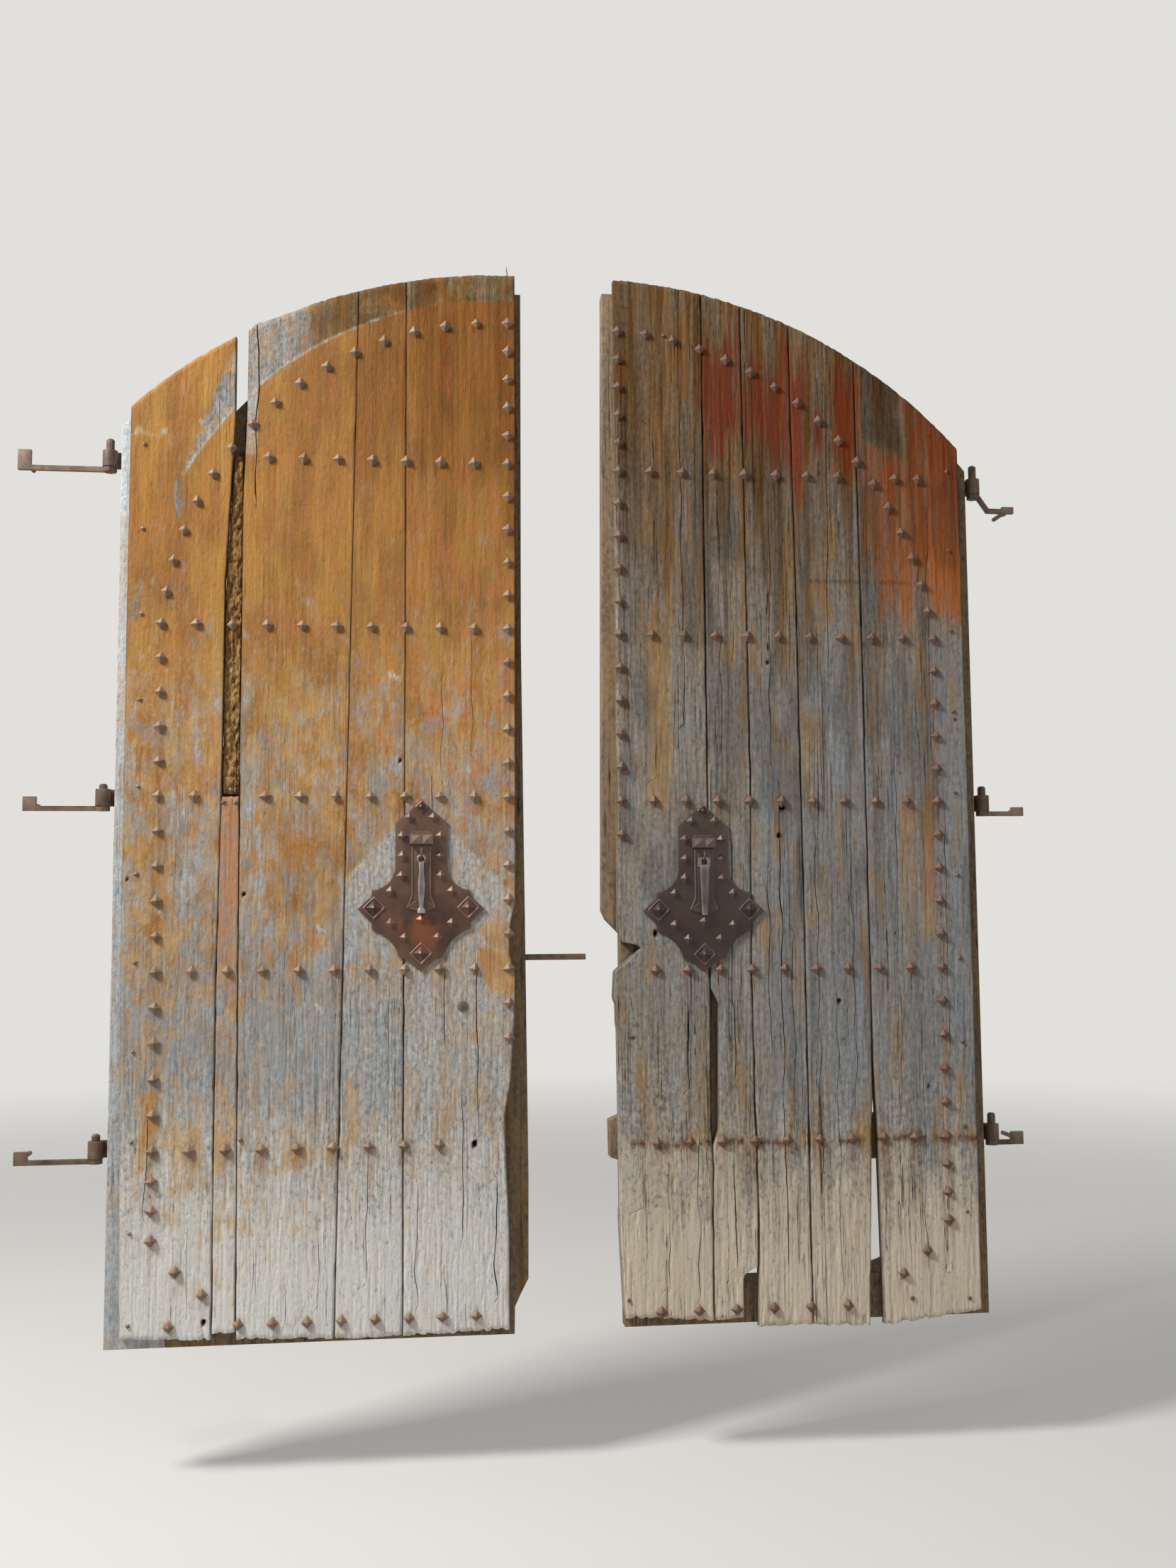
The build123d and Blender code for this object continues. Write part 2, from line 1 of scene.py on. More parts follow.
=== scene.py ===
import json
from math import atan2, cos, pi, radians, sin, sqrt

import bmesh
import bpy
import numpy as np
from mathutils import Matrix, Vector

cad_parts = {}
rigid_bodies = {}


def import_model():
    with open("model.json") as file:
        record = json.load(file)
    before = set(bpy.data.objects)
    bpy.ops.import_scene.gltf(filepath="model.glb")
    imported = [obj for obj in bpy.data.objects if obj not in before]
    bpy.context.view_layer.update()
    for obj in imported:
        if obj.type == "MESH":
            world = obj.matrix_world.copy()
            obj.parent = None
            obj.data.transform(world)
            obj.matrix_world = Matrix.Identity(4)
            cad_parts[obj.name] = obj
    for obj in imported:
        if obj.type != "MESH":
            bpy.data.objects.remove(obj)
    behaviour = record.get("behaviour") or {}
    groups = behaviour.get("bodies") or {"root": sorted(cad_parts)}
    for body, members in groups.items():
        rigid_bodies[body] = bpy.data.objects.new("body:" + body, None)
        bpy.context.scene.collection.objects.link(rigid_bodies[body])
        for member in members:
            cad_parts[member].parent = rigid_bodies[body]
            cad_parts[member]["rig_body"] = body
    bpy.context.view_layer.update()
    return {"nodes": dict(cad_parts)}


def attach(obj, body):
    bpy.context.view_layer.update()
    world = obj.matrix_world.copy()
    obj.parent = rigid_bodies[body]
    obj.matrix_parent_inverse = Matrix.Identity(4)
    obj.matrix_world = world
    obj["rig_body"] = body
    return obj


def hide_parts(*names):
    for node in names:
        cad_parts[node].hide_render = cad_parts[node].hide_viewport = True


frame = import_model()
nodes = frame["nodes"]

# A leaf is drawn from its front in millimetres: u from the arch's centre line to the hinge side,
# y into the wall, z up from the planks' lower ends. These put a leaf where it hangs.
# The top is the arch's centre in u, its height and its radius.
leaves = {
    "left": {"originX": 1283.08, "side": -1, "rise": -471.7, "top": (0, 2870, 1510), "knockerU": 255},
    "right": {"originX": 1521.08, "side": 1, "rise": -481.7, "top": (-5, 2881, 1400), "knockerU": 273},
}
plankFace = -30
wallGap = 75
mergeDistance = 1e-6
# Masks that each point of a board carries, three to a colour attribute: two layers of paint and pale
# wood (with a painted highlight on the right leaf's meeting edge), then rust, dirt with painted shadow in
# cracks, holes and seams, and warm wood, then painted brown shade, cool wood and orange in the paint
maskNames = {"wear": ("cover", "second", "pale"), "marks": ("rust", "dark", "warm"),
             "tints": ("shade", "cool", "orange")}


def toRow(leafName, u, y, z):
    leaf = leaves[leafName]
    return (leaf["originX"] + leaf["side"] * u) / 1000, (y - wallGap) / 1000, (z + leaf["rise"]) / 1000


def toLeaf(leafName, x, z):
    leaf = leaves[leafName]
    return (x * 1000 - leaf["originX"]) * leaf["side"], z * 1000 - leaf["rise"]


# ---- noise

def lattice(ix, iz, seed):
    n = (ix * 374761393 + iz * 668265263 + seed * 974634777) & 0xffffffff
    n = ((n ^ (n >> 13)) * 1274126177) & 0xffffffff
    return ((n ^ (n >> 16)) & 0xffff) / 65535.0


def noise(x, z, seed):
    ix, iz = np.floor(x).astype(np.int64), np.floor(z).astype(np.int64)
    fx, fz = x - ix, z - iz
    fx, fz = fx * fx * (3 - 2 * fx), fz * fz * (3 - 2 * fz)
    low = lattice(ix, iz, seed) * (1 - fx) + lattice(ix + 1, iz, seed) * fx
    high = lattice(ix, iz + 1, seed) * (1 - fx) + lattice(ix + 1, iz + 1, seed) * fx
    return low * (1 - fz) + high * fz


def roughNoise(x, z, seed, octaves=3):
    total, weight = 0, 0
    for i in range(octaves):
        total = total + noise(x * 2 ** i, z * 2 ** i, seed + 17 * i) / 2 ** i
        weight += 1 / 2 ** i
    return total / weight


def ramp(low, high, value):
    t = np.clip((value - low) / (high - low), 0, 1)
    return t * t * (3 - 2 * t)


def bell(distance, halfWidth):
    return np.exp(-(distance / halfWidth) ** 2)


# ---- meshes and pieces

def newPiece(name, mesh, body, material, replaced=()):
    mesh.name = name
    piece = bpy.data.objects.new(name, mesh)
    bpy.context.scene.collection.objects.link(piece)
    mesh.materials.clear()
    mesh.materials.append(material)
    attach(piece, body)
    if replaced:
        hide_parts(*replaced)


def solidMesh(nodeName):
    bm = bmesh.new()
    bm.from_mesh(nodes[nodeName].data)
    bmesh.ops.remove_doubles(bm, verts=bm.verts, dist=mergeDistance)
    return bm


def plainMesh(bm, name):
    mesh = bpy.data.meshes.new(name)
    bm.to_mesh(mesh)
    bm.free()
    return mesh


def smooth(mesh, sharpAngle):
    mesh.polygons.foreach_set("use_smooth", [True] * len(mesh.polygons))
    mesh.set_sharp_from_angle(angle=radians(sharpAngle))


def finishBmesh(bm, name, sharpAngle=35, recalc=True):
    bmesh.ops.remove_doubles(bm, verts=bm.verts, dist=mergeDistance)
    if recalc:
        bmesh.ops.recalc_face_normals(bm, faces=bm.faces)
    mesh = plainMesh(bm, name)
    smooth(mesh, sharpAngle)
    return mesh


# Rings of points joined by faces. They meet in a loop, run to a peak or get a flat end.
def skin(bm, rings, meet=False, peak=None):
    size = len(rings[0])
    following = [(k, (k + 1) % size) for k in range(size)]
    for one, two in zip(rings, rings[1:] + (rings[:1] if meet else [])):
        for k, j in following:
            bm.faces.new((one[k], one[j], two[j], two[k]))
    if peak:
        for k, j in following:
            bm.faces.new((rings[-1][k], rings[-1][j], peak))
    if not meet:
        bm.faces.new(rings[0][::-1])
    if not (meet or peak):
        bm.faces.new(rings[-1])


def paintPoints(mesh, amounts, seed):
    count = len(mesh.vertices)
    for label, names in maskNames.items():
        data = np.ones((count, 4), np.float32)
        for i, name in enumerate(names):
            data[:, i] = amounts.get(name, 0.0)
        layer = mesh.color_attributes.new(label, "FLOAT_COLOR", "POINT")
        layer.data.foreach_set("color", data.ravel())
    shift = mesh.attributes.new("shift", "FLOAT", "POINT")
    shift.data.foreach_set("value", np.full(count, seed, np.float32))


# ---- nodes

def paint(red, green, blue):
    values = [c / 255 for c in (red, green, blue)]
    return tuple([c / 12.92 if c <= 0.04045 else ((c + 0.055) / 1.055) ** 2.4 for c in values] + [1])


def painted(look):
    return {key: paint(*value) if isinstance(value, tuple) else value for key, value in look.items()}


# Wires the nodes of one tree. Its noise is taken at its place, moved on by its shift if it has one.
class Wiring:
    def __init__(self, tree, place=None, shift=None):
        self.tree, self.place, self.shift = tree, place, shift

    def fill(self, node, inputs):
        for key, value in inputs.items():
            if isinstance(value, bpy.types.NodeSocket):
                self.tree.links.new(value, node.inputs[key])
            else:
                node.inputs[key].default_value = value

    def node(self, kind, inputs=None, **settings):
        node = self.tree.nodes.new(kind)
        for key, value in settings.items():
            setattr(node, key, value)
        self.fill(node, inputs or {})
        return node

    def math(self, operation, a, b=0.0, clamp=False):
        node = self.node("ShaderNodeMath", {0: a, 1: b}, operation=operation, use_clamp=clamp)
        return node.outputs[0]

    def plus(self, a, b, clamp=False):
        return self.math("ADD", a, b, clamp)

    def minus(self, a, b):
        return self.math("SUBTRACT", a, b)

    def times(self, a, b, clamp=False):
        return self.math("MULTIPLY", a, b, clamp)

    def over(self, a, b):
        return self.math("DIVIDE", a, b)

    def larger(self, a, b):
        return self.math("MAXIMUM", a, b)

    def vector(self, operation, a, b):
        node = self.node("ShaderNodeVectorMath", {0: a, 1: b}, operation=operation)
        return node.outputs["Value" if operation == "DISTANCE" else "Vector"]

    def joined(self, x, y, z):
        return self.node("ShaderNodeCombineXYZ", {"X": x, "Y": y, "Z": z}).outputs[0]

    def mix(self, factor, a, b, blend="MIX"):
        node = self.node("ShaderNodeMix", {0: factor, 6: a, 7: b}, data_type="RGBA", blend_type=blend)
        return node.outputs[2]

    def curve(self, value, low, high, toLow=0.0, toHigh=1.0, kind="SMOOTHSTEP"):
        node = self.node("ShaderNodeMapRange", {"Value": value, "From Min": low, "From Max": high,
                                                "To Min": toLow, "To Max": toHigh}, interpolation_type=kind)
        return node.outputs["Result"]

    def line(self, value, toLow, toHigh, low=0.0, high=1.0):
        return self.curve(value, low, high, toLow, toHigh, "LINEAR")

    def noise(self, offset, scaling, detail, roughness, distortion=0.0, scale=1.0):
        moved = offset
        if self.shift is not None:
            moved = self.plus(self.shift, offset) if offset else self.shift
        mapped = self.node("ShaderNodeMapping", {"Vector": self.place, "Scale": scaling}).outputs[0]
        node = self.node("ShaderNodeTexNoise", {
            "Vector": mapped, "Scale": scale, "W": moved, "Detail": detail, "Roughness": roughness,
            "Distortion": distortion}, noise_dimensions="4D")
        return node.outputs["Fac"]

    def attribute(self, name):
        return self.node("ShaderNodeAttribute", attribute_name=name).outputs

    def bump(self, height, strength, distance):
        node = self.node("ShaderNodeBump", {"Height": height, "Strength": strength, "Distance": distance})
        return node.outputs[0]


# ---- effects that several finishes share

# An input without a value is the place. All other sockets are plain numbers.
def newGroup(name, inputs, outputs):
    group = bpy.data.node_groups.new(name, "ShaderNodeTree")
    for label, value in inputs.items():
        kind = "NodeSocketVector" if value is None else "NodeSocketFloat"
        socket = group.interface.new_socket(label, in_out="INPUT", socket_type=kind)
        if value is not None:
            socket.default_value = value
    for label in outputs:
        group.interface.new_socket(label, in_out="OUTPUT", socket_type="NodeSocketFloat")
    given, made = group.nodes.new("NodeGroupInput").outputs, group.nodes.new("NodeGroupOutput")
    return Wiring(group, given["Place"], given.get("Shift")), given, made


grainOutputs = ("Fibre", "Flecks", "Bands", "Checks", "Crust")


def makeGrainGroup():
    w, given, made = newGroup("woodGrain", {"Place": None, "Shift": 0.0, "Fibre Width": 1.0,
                                            "Check Amount": 0.5}, grainOutputs)
    scale = w.over(1.0, given["Fibre Width"])
    thinnest, thickest = 0.0002, 0.013
    lines = w.noise(9.1, (110, 110, 1.1), 3.0, 0.5, 0.5, scale)
    where = w.noise(5.5, (16, 16, 1.7), 3.0, 0.6)
    ridge = w.math("ABSOLUTE", w.minus(lines, 0.5))
    limit = w.times(w.curve(where, 0.42, 0.62, 0.0, thickest), given["Check Amount"])
    checks = w.over(ridge, w.larger(limit, thinnest))
    w.fill(made, {
        "Fibre": w.noise(0.0, (210, 210, 12), 5.0, 0.62, 0.0, scale),
        "Flecks": w.noise(14.3, (150, 150, 22), 5.0, 0.66, 0.5, scale),
        "Bands": w.noise(3.7, (52, 52, 1.6), 3.0, 0.5, 0.6, scale),
        "Checks": w.curve(checks, 0.5, 1.0, 1.0, 0.0),
        "Crust": w.noise(33.1, (95, 95, 58), 7.0, 0.72, 0.35)})
    return w.tree


def makeWornGroup():
    w, given, made = newGroup("wornPaint", {"Place": None, "Shift": 0.0, "Cover": 0.5, "Flecks": 0.5,
                                            "Stretch": 1.0, "Softness": 0.03}, ("Mask", "Thickness"))
    blotchShare, middleShare, fleckShare = 0.42, 0.38, 0.2
    w.place = w.vector("MULTIPLY", given["Place"], w.joined(1.0, 1.0, w.over(1.0, given["Stretch"])))
    level = w.times(w.noise(0.0, (13, 13, 9), 5.0, 0.6, 0.5), blotchShare)
    level = w.plus(level, w.times(w.noise(2.2, (52, 52, 20), 4.0, 0.62, 0.3), middleShare))
    level = w.plus(level, w.times(given["Flecks"], fleckShare))
    above = w.over(w.minus(level, w.line(given["Cover"], 0.67, 0.32)), given["Softness"])
    w.fill(made, {"Mask": w.curve(above, -1.0, 1.3), "Thickness": w.curve(above, -0.4, 0.7)})
    return w.tree


def makeForgedGroup():
    w, given, made = newGroup("forgedIron", {"Place": None, "Dent Size": 0.012, "Rust": 0.5},
                              ("Height", "Tone", "Rust Mask"))
    scale = w.over(1.0, given["Dent Size"])
    dents = w.noise(0.0, (1, 1, 1), 2.0, 0.4, 0.0, scale)
    grit = w.noise(4.0, (7, 7, 7), 3.0, 0.65, 0.0, scale)
    bloom = w.noise(12.0, (0.8, 0.8, 0.6), 5.0, 0.68, 0.0, scale)
    w.fill(made, {
        "Height": w.plus(w.times(dents, 0.75), w.times(grit, 0.25)),
        "Tone": w.noise(8.0, (0.5, 0.5, 0.35), 4.0, 0.6, 0.0, scale),
        "Rust Mask": w.curve(w.minus(bloom, w.line(given["Rust"], 0.75, 0.33)), -0.04, 0.09)})
    return w.tree


woodGrain, wornPaint, forgedIron = makeGrainGroup(), makeWornGroup(), makeForgedGroup()


# ---- finishes

def newMaterial(name):
    material = bpy.data.materials.new(name)
    material.use_nodes = True
    tree = material.node_tree
    place = tree.nodes.new("ShaderNodeTexCoord").outputs["Object"]
    return material, tree.nodes["Principled BSDF"], Wiring(tree, place)


# Bare wood, two layers of worn paint on it, then rust, painted brown shade, dirt and painted shadow
def makeWood(name, look):
    look = painted(look)
    material, shader, w = newMaterial(name)
    rustNoise = w.noise(40.0, (60, 60, 18), 4.0, 0.6)
    w.shift = w.attribute("shift")["Fac"]
    parts = {}
    for label, names in maskNames.items():
        parts.update(zip(names, w.node("ShaderNodeSeparateColor", {0: w.attribute(label)["Color"]}).outputs))
    grain = w.node("ShaderNodeGroup", {
        "Place": w.place, "Shift": w.shift, "Fibre Width": look["fibreWidth"],
        "Check Amount": look["checks"]}, node_tree=woodGrain).outputs
    fibre, flecks, bands, checks, crust = [grain[label] for label in grainOutputs]

    lines = w.plus(w.times(fibre, 0.5), w.times(flecks, 0.5))
    texture = w.plus(w.times(lines, look["lineShare"]), w.times(crust, 1 - look["lineShare"]))
    tone = w.curve(texture, 0.36, 0.64)
    wood = w.mix(tone, look["woodDark"], look["woodLight"])
    broad = w.noise(21.0, (16, 16, 6 / look["stretch"]), 4.0, 0.6)
    cool = w.plus(w.curve(broad, 0.42, 0.62, 0.0, look["coolAmount"]), parts["cool"], clamp=True)
    wood = w.mix(cool, wood, w.mix(tone, look["woodCool"], look["woodPale"]))
    wood = w.mix(w.times(parts["cool"], 0.4), wood, look["woodCool"])
    warmNoise = w.noise(26.0, (34, 34, 12 / look["stretch"]), 4.0, 0.6)
    wood = w.mix(w.times(parts["warm"], w.curve(warmNoise, 0.44, 0.62)), wood, look["woodWarm"])
    wood = w.mix(w.curve(bands, 0.5, 0.68, 0.0, look["streakAmount"]), wood, look["streak"], "MULTIPLY")
    paleNoise = w.plus(parts["pale"], w.line(texture, -0.4, 0.4, 0.36, 0.64))
    wood = w.mix(w.times(parts["pale"], w.curve(paleNoise, 0.1, 0.8)), wood, look["pale"])

    def paintLayer(cover, offset, strength):
        layer = w.node("ShaderNodeGroup", {
            "Place": w.place, "Shift": w.plus(w.shift, offset), "Cover": cover, "Flecks": texture,
            "Stretch": look["stretch"], "Softness": look["softness"]}, node_tree=wornPaint).outputs
        return w.times(layer["Mask"], strength), layer["Thickness"]

    firstMask, thickness = paintLayer(parts["cover"], 0.0, look["firstStrength"])
    secondMask = paintLayer(parts["second"], 31.0, look["secondStrength"])[0]
    tint = w.curve(w.noise(17.0, (9, 9, 2.2), 4.0, 0.6), 0.4, 0.6)
    first = w.mix(tint, look["paintDark"], look["paintLight"])
    orange = w.times(parts["orange"], w.curve(w.noise(19.0, (15, 15, 7), 4.0, 0.65), 0.4, 0.6))
    first = w.mix(orange, first, look["paintOrange"])
    first = w.mix(w.curve(fibre, 0.3, 0.55, 0.6 * look["lineShare"], 0.0), first, look["paintDeep"])
    thin = w.curve(parts["cover"], 0.5, 0.9, 1.0, 0.03)
    flakes = w.times(thin, w.curve(crust, 0.5, 0.66, 0.0, 0.75))
    first = w.mix(flakes, first, look["paintPale"])
    fade = w.times(thin, w.curve(w.noise(23.0, (26, 26, 14), 4.0, 0.62), 0.42, 0.62, 0.05, 0.7))
    first = w.mix(w.plus(fade, parts["pale"], clamp=True), first, look["paintPale"])
    second = w.mix(w.curve(bands, 0.35, 0.65), look["secondDark"], look["secondLight"])
    second = w.mix(parts["orange"], second, look["secondOrange"])
    colour = w.mix(secondMask, w.mix(firstMask, wood, first), second)
    covered = w.larger(firstMask, secondMask)

    colour = w.mix(w.times(parts["rust"], w.curve(rustNoise, 0.3, 0.62)), colour, look["rust"])
    colour = w.mix(w.curve(crust, 0.44, 0.3, 0.0, 0.55), colour, look["streak"], "MULTIPLY")
    # painted shade: the shade mask darkens and browns the colour, varied by the bands
    shade = w.times(parts["shade"], w.curve(bands, 0.3, 0.7, 0.75, 1.25), clamp=True)
    colour = w.mix(shade, colour, look["shade"], "MULTIPLY")
    # the dark mask holds real dirt and painted shadow in cracks, holes and seams; here the checks get painted
    # shadow too
    dark = w.larger(w.times(checks, w.line(covered, 0.9, 0.35)), parts["dark"])
    colour = w.mix(dark, colour, look["dirtAndShadow"])
    height = w.plus(w.times(texture, w.line(covered, 1.0, 0.7)), w.times(bands, 0.3))
    height = w.minus(w.plus(height, w.times(thickness, 0.12)), w.times(checks, 0.5))
    w.fill(shader, {"Base Color": colour, "Roughness": w.line(covered, 0.9, 0.66),
                    "Normal": w.bump(height, look["bump"], 0.006), "Specular IOR Level": 0.15})
    return material


def makeIron(name, look, rustSpot=None):
    look = painted(look)
    material, shader, w = newMaterial(name)
    forged = w.node("ShaderNodeGroup", {"Place": w.place, "Dent Size": look["dentSize"],
                                        "Rust": look["rustAmount"]}, node_tree=forgedIron).outputs
    tone = w.mix(w.curve(forged["Tone"], 0.35, 0.65), look["dark"], look["light"])
    # paler on sharp edges and ridges: partly worn metal, partly painted highlight
    wornEdgeAndHighlight = w.node("ShaderNodeNewGeometry").outputs["Pointiness"]
    tone = w.mix(w.curve(wornEdgeAndHighlight, 0.505, 0.62, 0.0, 0.5), tone, look["edge"])
    mask = forged["Rust Mask"]
    rust = w.times(mask, look["rustStrength"])
    if rustSpot:
        away = w.vector("DISTANCE", w.place, rustSpot)
        away = w.plus(away, w.curve(forged["Tone"], 0.3, 0.7, 0.02, -0.02))
        rust = w.larger(rust, w.curve(away, 0.012, 0.062, 0.75, 0.0))
    w.fill(shader, {"Base Color": w.mix(rust, tone, look["rust"]),
                    "Roughness": w.curve(mask, 0.0, 1.0, look["roughness"], 0.85),
                    "Metallic": w.curve(mask, 0.0, 1.0, look["metal"], 0.0),
                    "Normal": w.bump(forged["Height"], look["bump"], 0.0015)})
    return material


# Colours are red, green and blue from 0 to 255. Each finish starts with its material's name.
# In each wood finish the shade colour tints the painted brown shade, and the near-black colour is for dirt
# and painted shadow
leftLook = {
    "woodDark": (162, 159, 152), "woodLight": (202, 198, 190), "woodCool": (142, 145, 147),
    "woodPale": (188, 190, 191), "woodWarm": (192, 154, 110), "pale": (226, 224, 218),
    "streak": (190, 186, 180), "paintDark": (146, 97, 28), "paintLight": (180, 130, 48),
    "paintDeep": (112, 74, 28), "paintOrange": (186, 112, 52), "paintPale": (206, 172, 120),
    "secondDark": (114, 114, 110), "secondLight": (160, 160, 155), "secondOrange": (147, 146, 142),
    "rust": (128, 70, 34), "dirtAndShadow": (40, 29, 22), "shade": (178, 149, 100),
    "coolAmount": 0.6, "checks": 0.35, "fibreWidth": 1.0, "stretch": 1.0, "softness": 0.07,
    "firstStrength": 0.92, "secondStrength": 0.9, "streakAmount": 0.3, "bump": 0.85, "lineShare": 0.22,
}
rightLook = {
    "woodDark": (122, 114, 102), "woodLight": (168, 160, 147), "woodCool": (122, 123, 124),
    "woodPale": (162, 163, 164), "woodWarm": (160, 128, 84), "pale": (216, 202, 180),
    "streak": (170, 164, 156), "paintDark": (146, 110, 52), "paintLight": (176, 138, 78),
    "paintDeep": (104, 76, 38), "paintOrange": (172, 108, 56), "paintPale": (186, 156, 106),
    "secondDark": (124, 50, 24), "secondLight": (156, 74, 34), "secondOrange": (184, 104, 40),
    "rust": (124, 66, 32), "dirtAndShadow": (30, 23, 18), "shade": (186, 148, 96),
    "coolAmount": 0.5, "checks": 1.2, "fibreWidth": 1.0, "stretch": 2.6, "softness": 0.12,
    "firstStrength": 0.75, "secondStrength": 0.85, "streakAmount": 0.5, "bump": 0.8, "lineShare": 0.34,
}
woodLooks = {
    "leftPlank": ("leftPlankPaint", leftLook),
    "rightPlank": ("rightPlankPaint", rightLook),
    "framing": ("framingTimber", dict(
        rightLook, woodDark=(82, 64, 47), woodLight=(146, 122, 94), woodCool=(104, 94, 82),
        woodPale=(150, 136, 116), bump=0.4)),
    # the left hinge stile's timber: partly its own pale paint, partly a painted highlight for its side face
    # lit from the left
    "paleTimber": ("paleTimber", dict(
        leftLook, woodDark=(160, 162, 160), woodLight=(206, 210, 210), woodCool=(170, 178, 184),
        woodPale=(206, 212, 216))),
    "filler": ("fillerStrip", dict(
        leftLook, paintDark=(170, 118, 76), paintLight=(188, 144, 102), paintDeep=(146, 100, 62),
        paintOrange=(192, 134, 92))),
    "rotten": ("rottenWood", dict(
        leftLook, woodDark=(112, 82, 46), woodLight=(200, 162, 106), woodCool=(120, 92, 56),
        woodPale=(196, 166, 118), woodWarm=(176, 126, 68), fibreWidth=1.8, checks=0.8)),
}
ironKeys = ("dark", "light", "edge", "rust",
            "dentSize", "rustAmount", "rustStrength", "roughness", "metal", "bump")
ironLooks = {
    "stud": ("studIron", (80, 59, 45), (124, 98, 77), (176, 154, 130), (128, 80, 50),
             0.012, 0.4, 0.6, 0.58, 0.15, 0.4),
    "darkStud": ("darkStudIron", (56, 40, 33), (92, 67, 52), (146, 118, 96), (116, 64, 38),
                 0.012, 0.5, 0.65, 0.6, 0.15, 0.4),
    "roundNail": ("roundNailIron", (84, 77, 62), (124, 113, 92), (160, 146, 122), (112, 88, 60),
                  0.012, 0.3, 0.6, 0.6, 0.15, 0.4),
    "leftKnocker": ("leftKnockerIron", (62, 38, 30), (94, 62, 49), (166, 142, 122), (140, 82, 44),
                    0.03, 0.25, 0.5, 0.45, 0.3, 0.3),
    # the right knocker and hammer are darker than the left's: partly their own iron, partly painted shade
    "rightKnocker": ("rightKnockerIron", (40, 27, 23), (58, 41, 35), (140, 120, 106), (96, 58, 38),
                     0.03, 0.16, 0.45, 0.45, 0.3, 0.3),
    "leftHammer": ("leftHammerSteel", (92, 82, 80), (146, 140, 142), (196, 190, 188), (104, 66, 44),
                   0.02, 0.2, 0.6, 0.4, 0.4, 0.25),
    "rightHammer": ("rightHammerIron", (58, 46, 44), (96, 82, 80), (164, 152, 150), (92, 58, 42),
                    0.02, 0.25, 0.6, 0.42, 0.35, 0.25),
    "hinge": ("hingeIron", (62, 48, 38), (112, 92, 76), (150, 130, 112), (120, 72, 42),
              0.02, 0.45, 0.7, 0.6, 0.3, 0.6),
}
rustSpots = {"leftKnocker": toRow("left", 250, plankFace - 5, 1052)}
finishes = {key: makeWood(*look) for key, look in woodLooks.items()}
for key, (name, *values) in ironLooks.items():
    finishes[key] = makeIron(name, dict(zip(ironKeys, values)), rustSpots.get(key))
print("finishes made")


# ---- where the fastenings are, from the CAD solids

def solidBoxes(nodeName):
    bm = solidMesh(nodeName)
    seen, boxes = set(), []
    for start in bm.verts:
        if start.index in seen:
            continue
        stack, points = [start], []
        seen.add(start.index)
        while stack:
            vert = stack.pop()
            points.append(vert.co.copy())
            for edge in vert.link_edges:
                other = edge.other_vert(vert)
                if other.index not in seen:
                    seen.add(other.index)
                    stack.append(other)
        boxes.append([Vector([pick(p[i] for p in points) for i in range(3)]) for pick in (min, max)])
    bm.free()
    return boxes


studPlaces = {side: [(low + high) / 2 for low, high in solidBoxes(side + "_studs")] for side in leaves}


# ---- planks

# Seams from the foot up as (u, z). The top lies above the arch, which cuts the planks.
top = 3100
leftFirst = [(300, 1), (300, top)]
leftSecond = [(476, 0), (430, 2812), (426, top)]
rightSecond = [(413, 347), (408, 600), (404, 932), (409, 1482), (403, 2472), (398, top)]
rightThird = [(558, -4), (555, 1004), (549, 1880), (541, 2541), (539, top)]
rightFourth = [(738, 876), (735, 1883), (728, 2686), (726, top)]
planks = {
    "left": [
        ([(20, 7), (21, 250), (28, 440), (32, 560), (15, 660), (4, 830), (3, 930), (18, 985), (17, 1060),
          (3, 1130), (0, top)], leftFirst),
        (leftFirst, leftSecond),
        (leftSecond, [(726, 7), (732, 890), (735, 2200), (727, 2430), (724, top)]),
        ([(787, 9), (788, 900), (781, 1412), (779, 1983), (764, 2295), (758, 2421), (758, top)],
         [(1018, 20), (1032, 900), (1034, 2000), (1030, top)]),
    ],
    "right": [
        ([(48, 33), (44, 54), (33, 287), (31, 571), (28, 859), (21, 878), (25, 950), (66, 982), (103, 1016),
          (45, 1026), (36, 1060), (37, 1371), (40, 2460), (37, top)],
         [(288, 19), (290, 479), (286, 523), (288, 884), (289, top)]),
        ([(288, 19), (290, 479), (305, 523), (310, 860), (289, 900), (289, top)],
         [(369, 23), (371, 132), (386, 148), (410, 156)] + rightSecond),
        ([(410, -3)] + rightSecond, rightThird),
        (rightThird, [(716, -10), (736, 600)] + rightFourth),
        ([(757, -12), (748, 500), (740, 660)] + rightFourth,
         [(1030, 20), (1033, 1100), (1032, 1700), (1027, top)]),
    ],
}
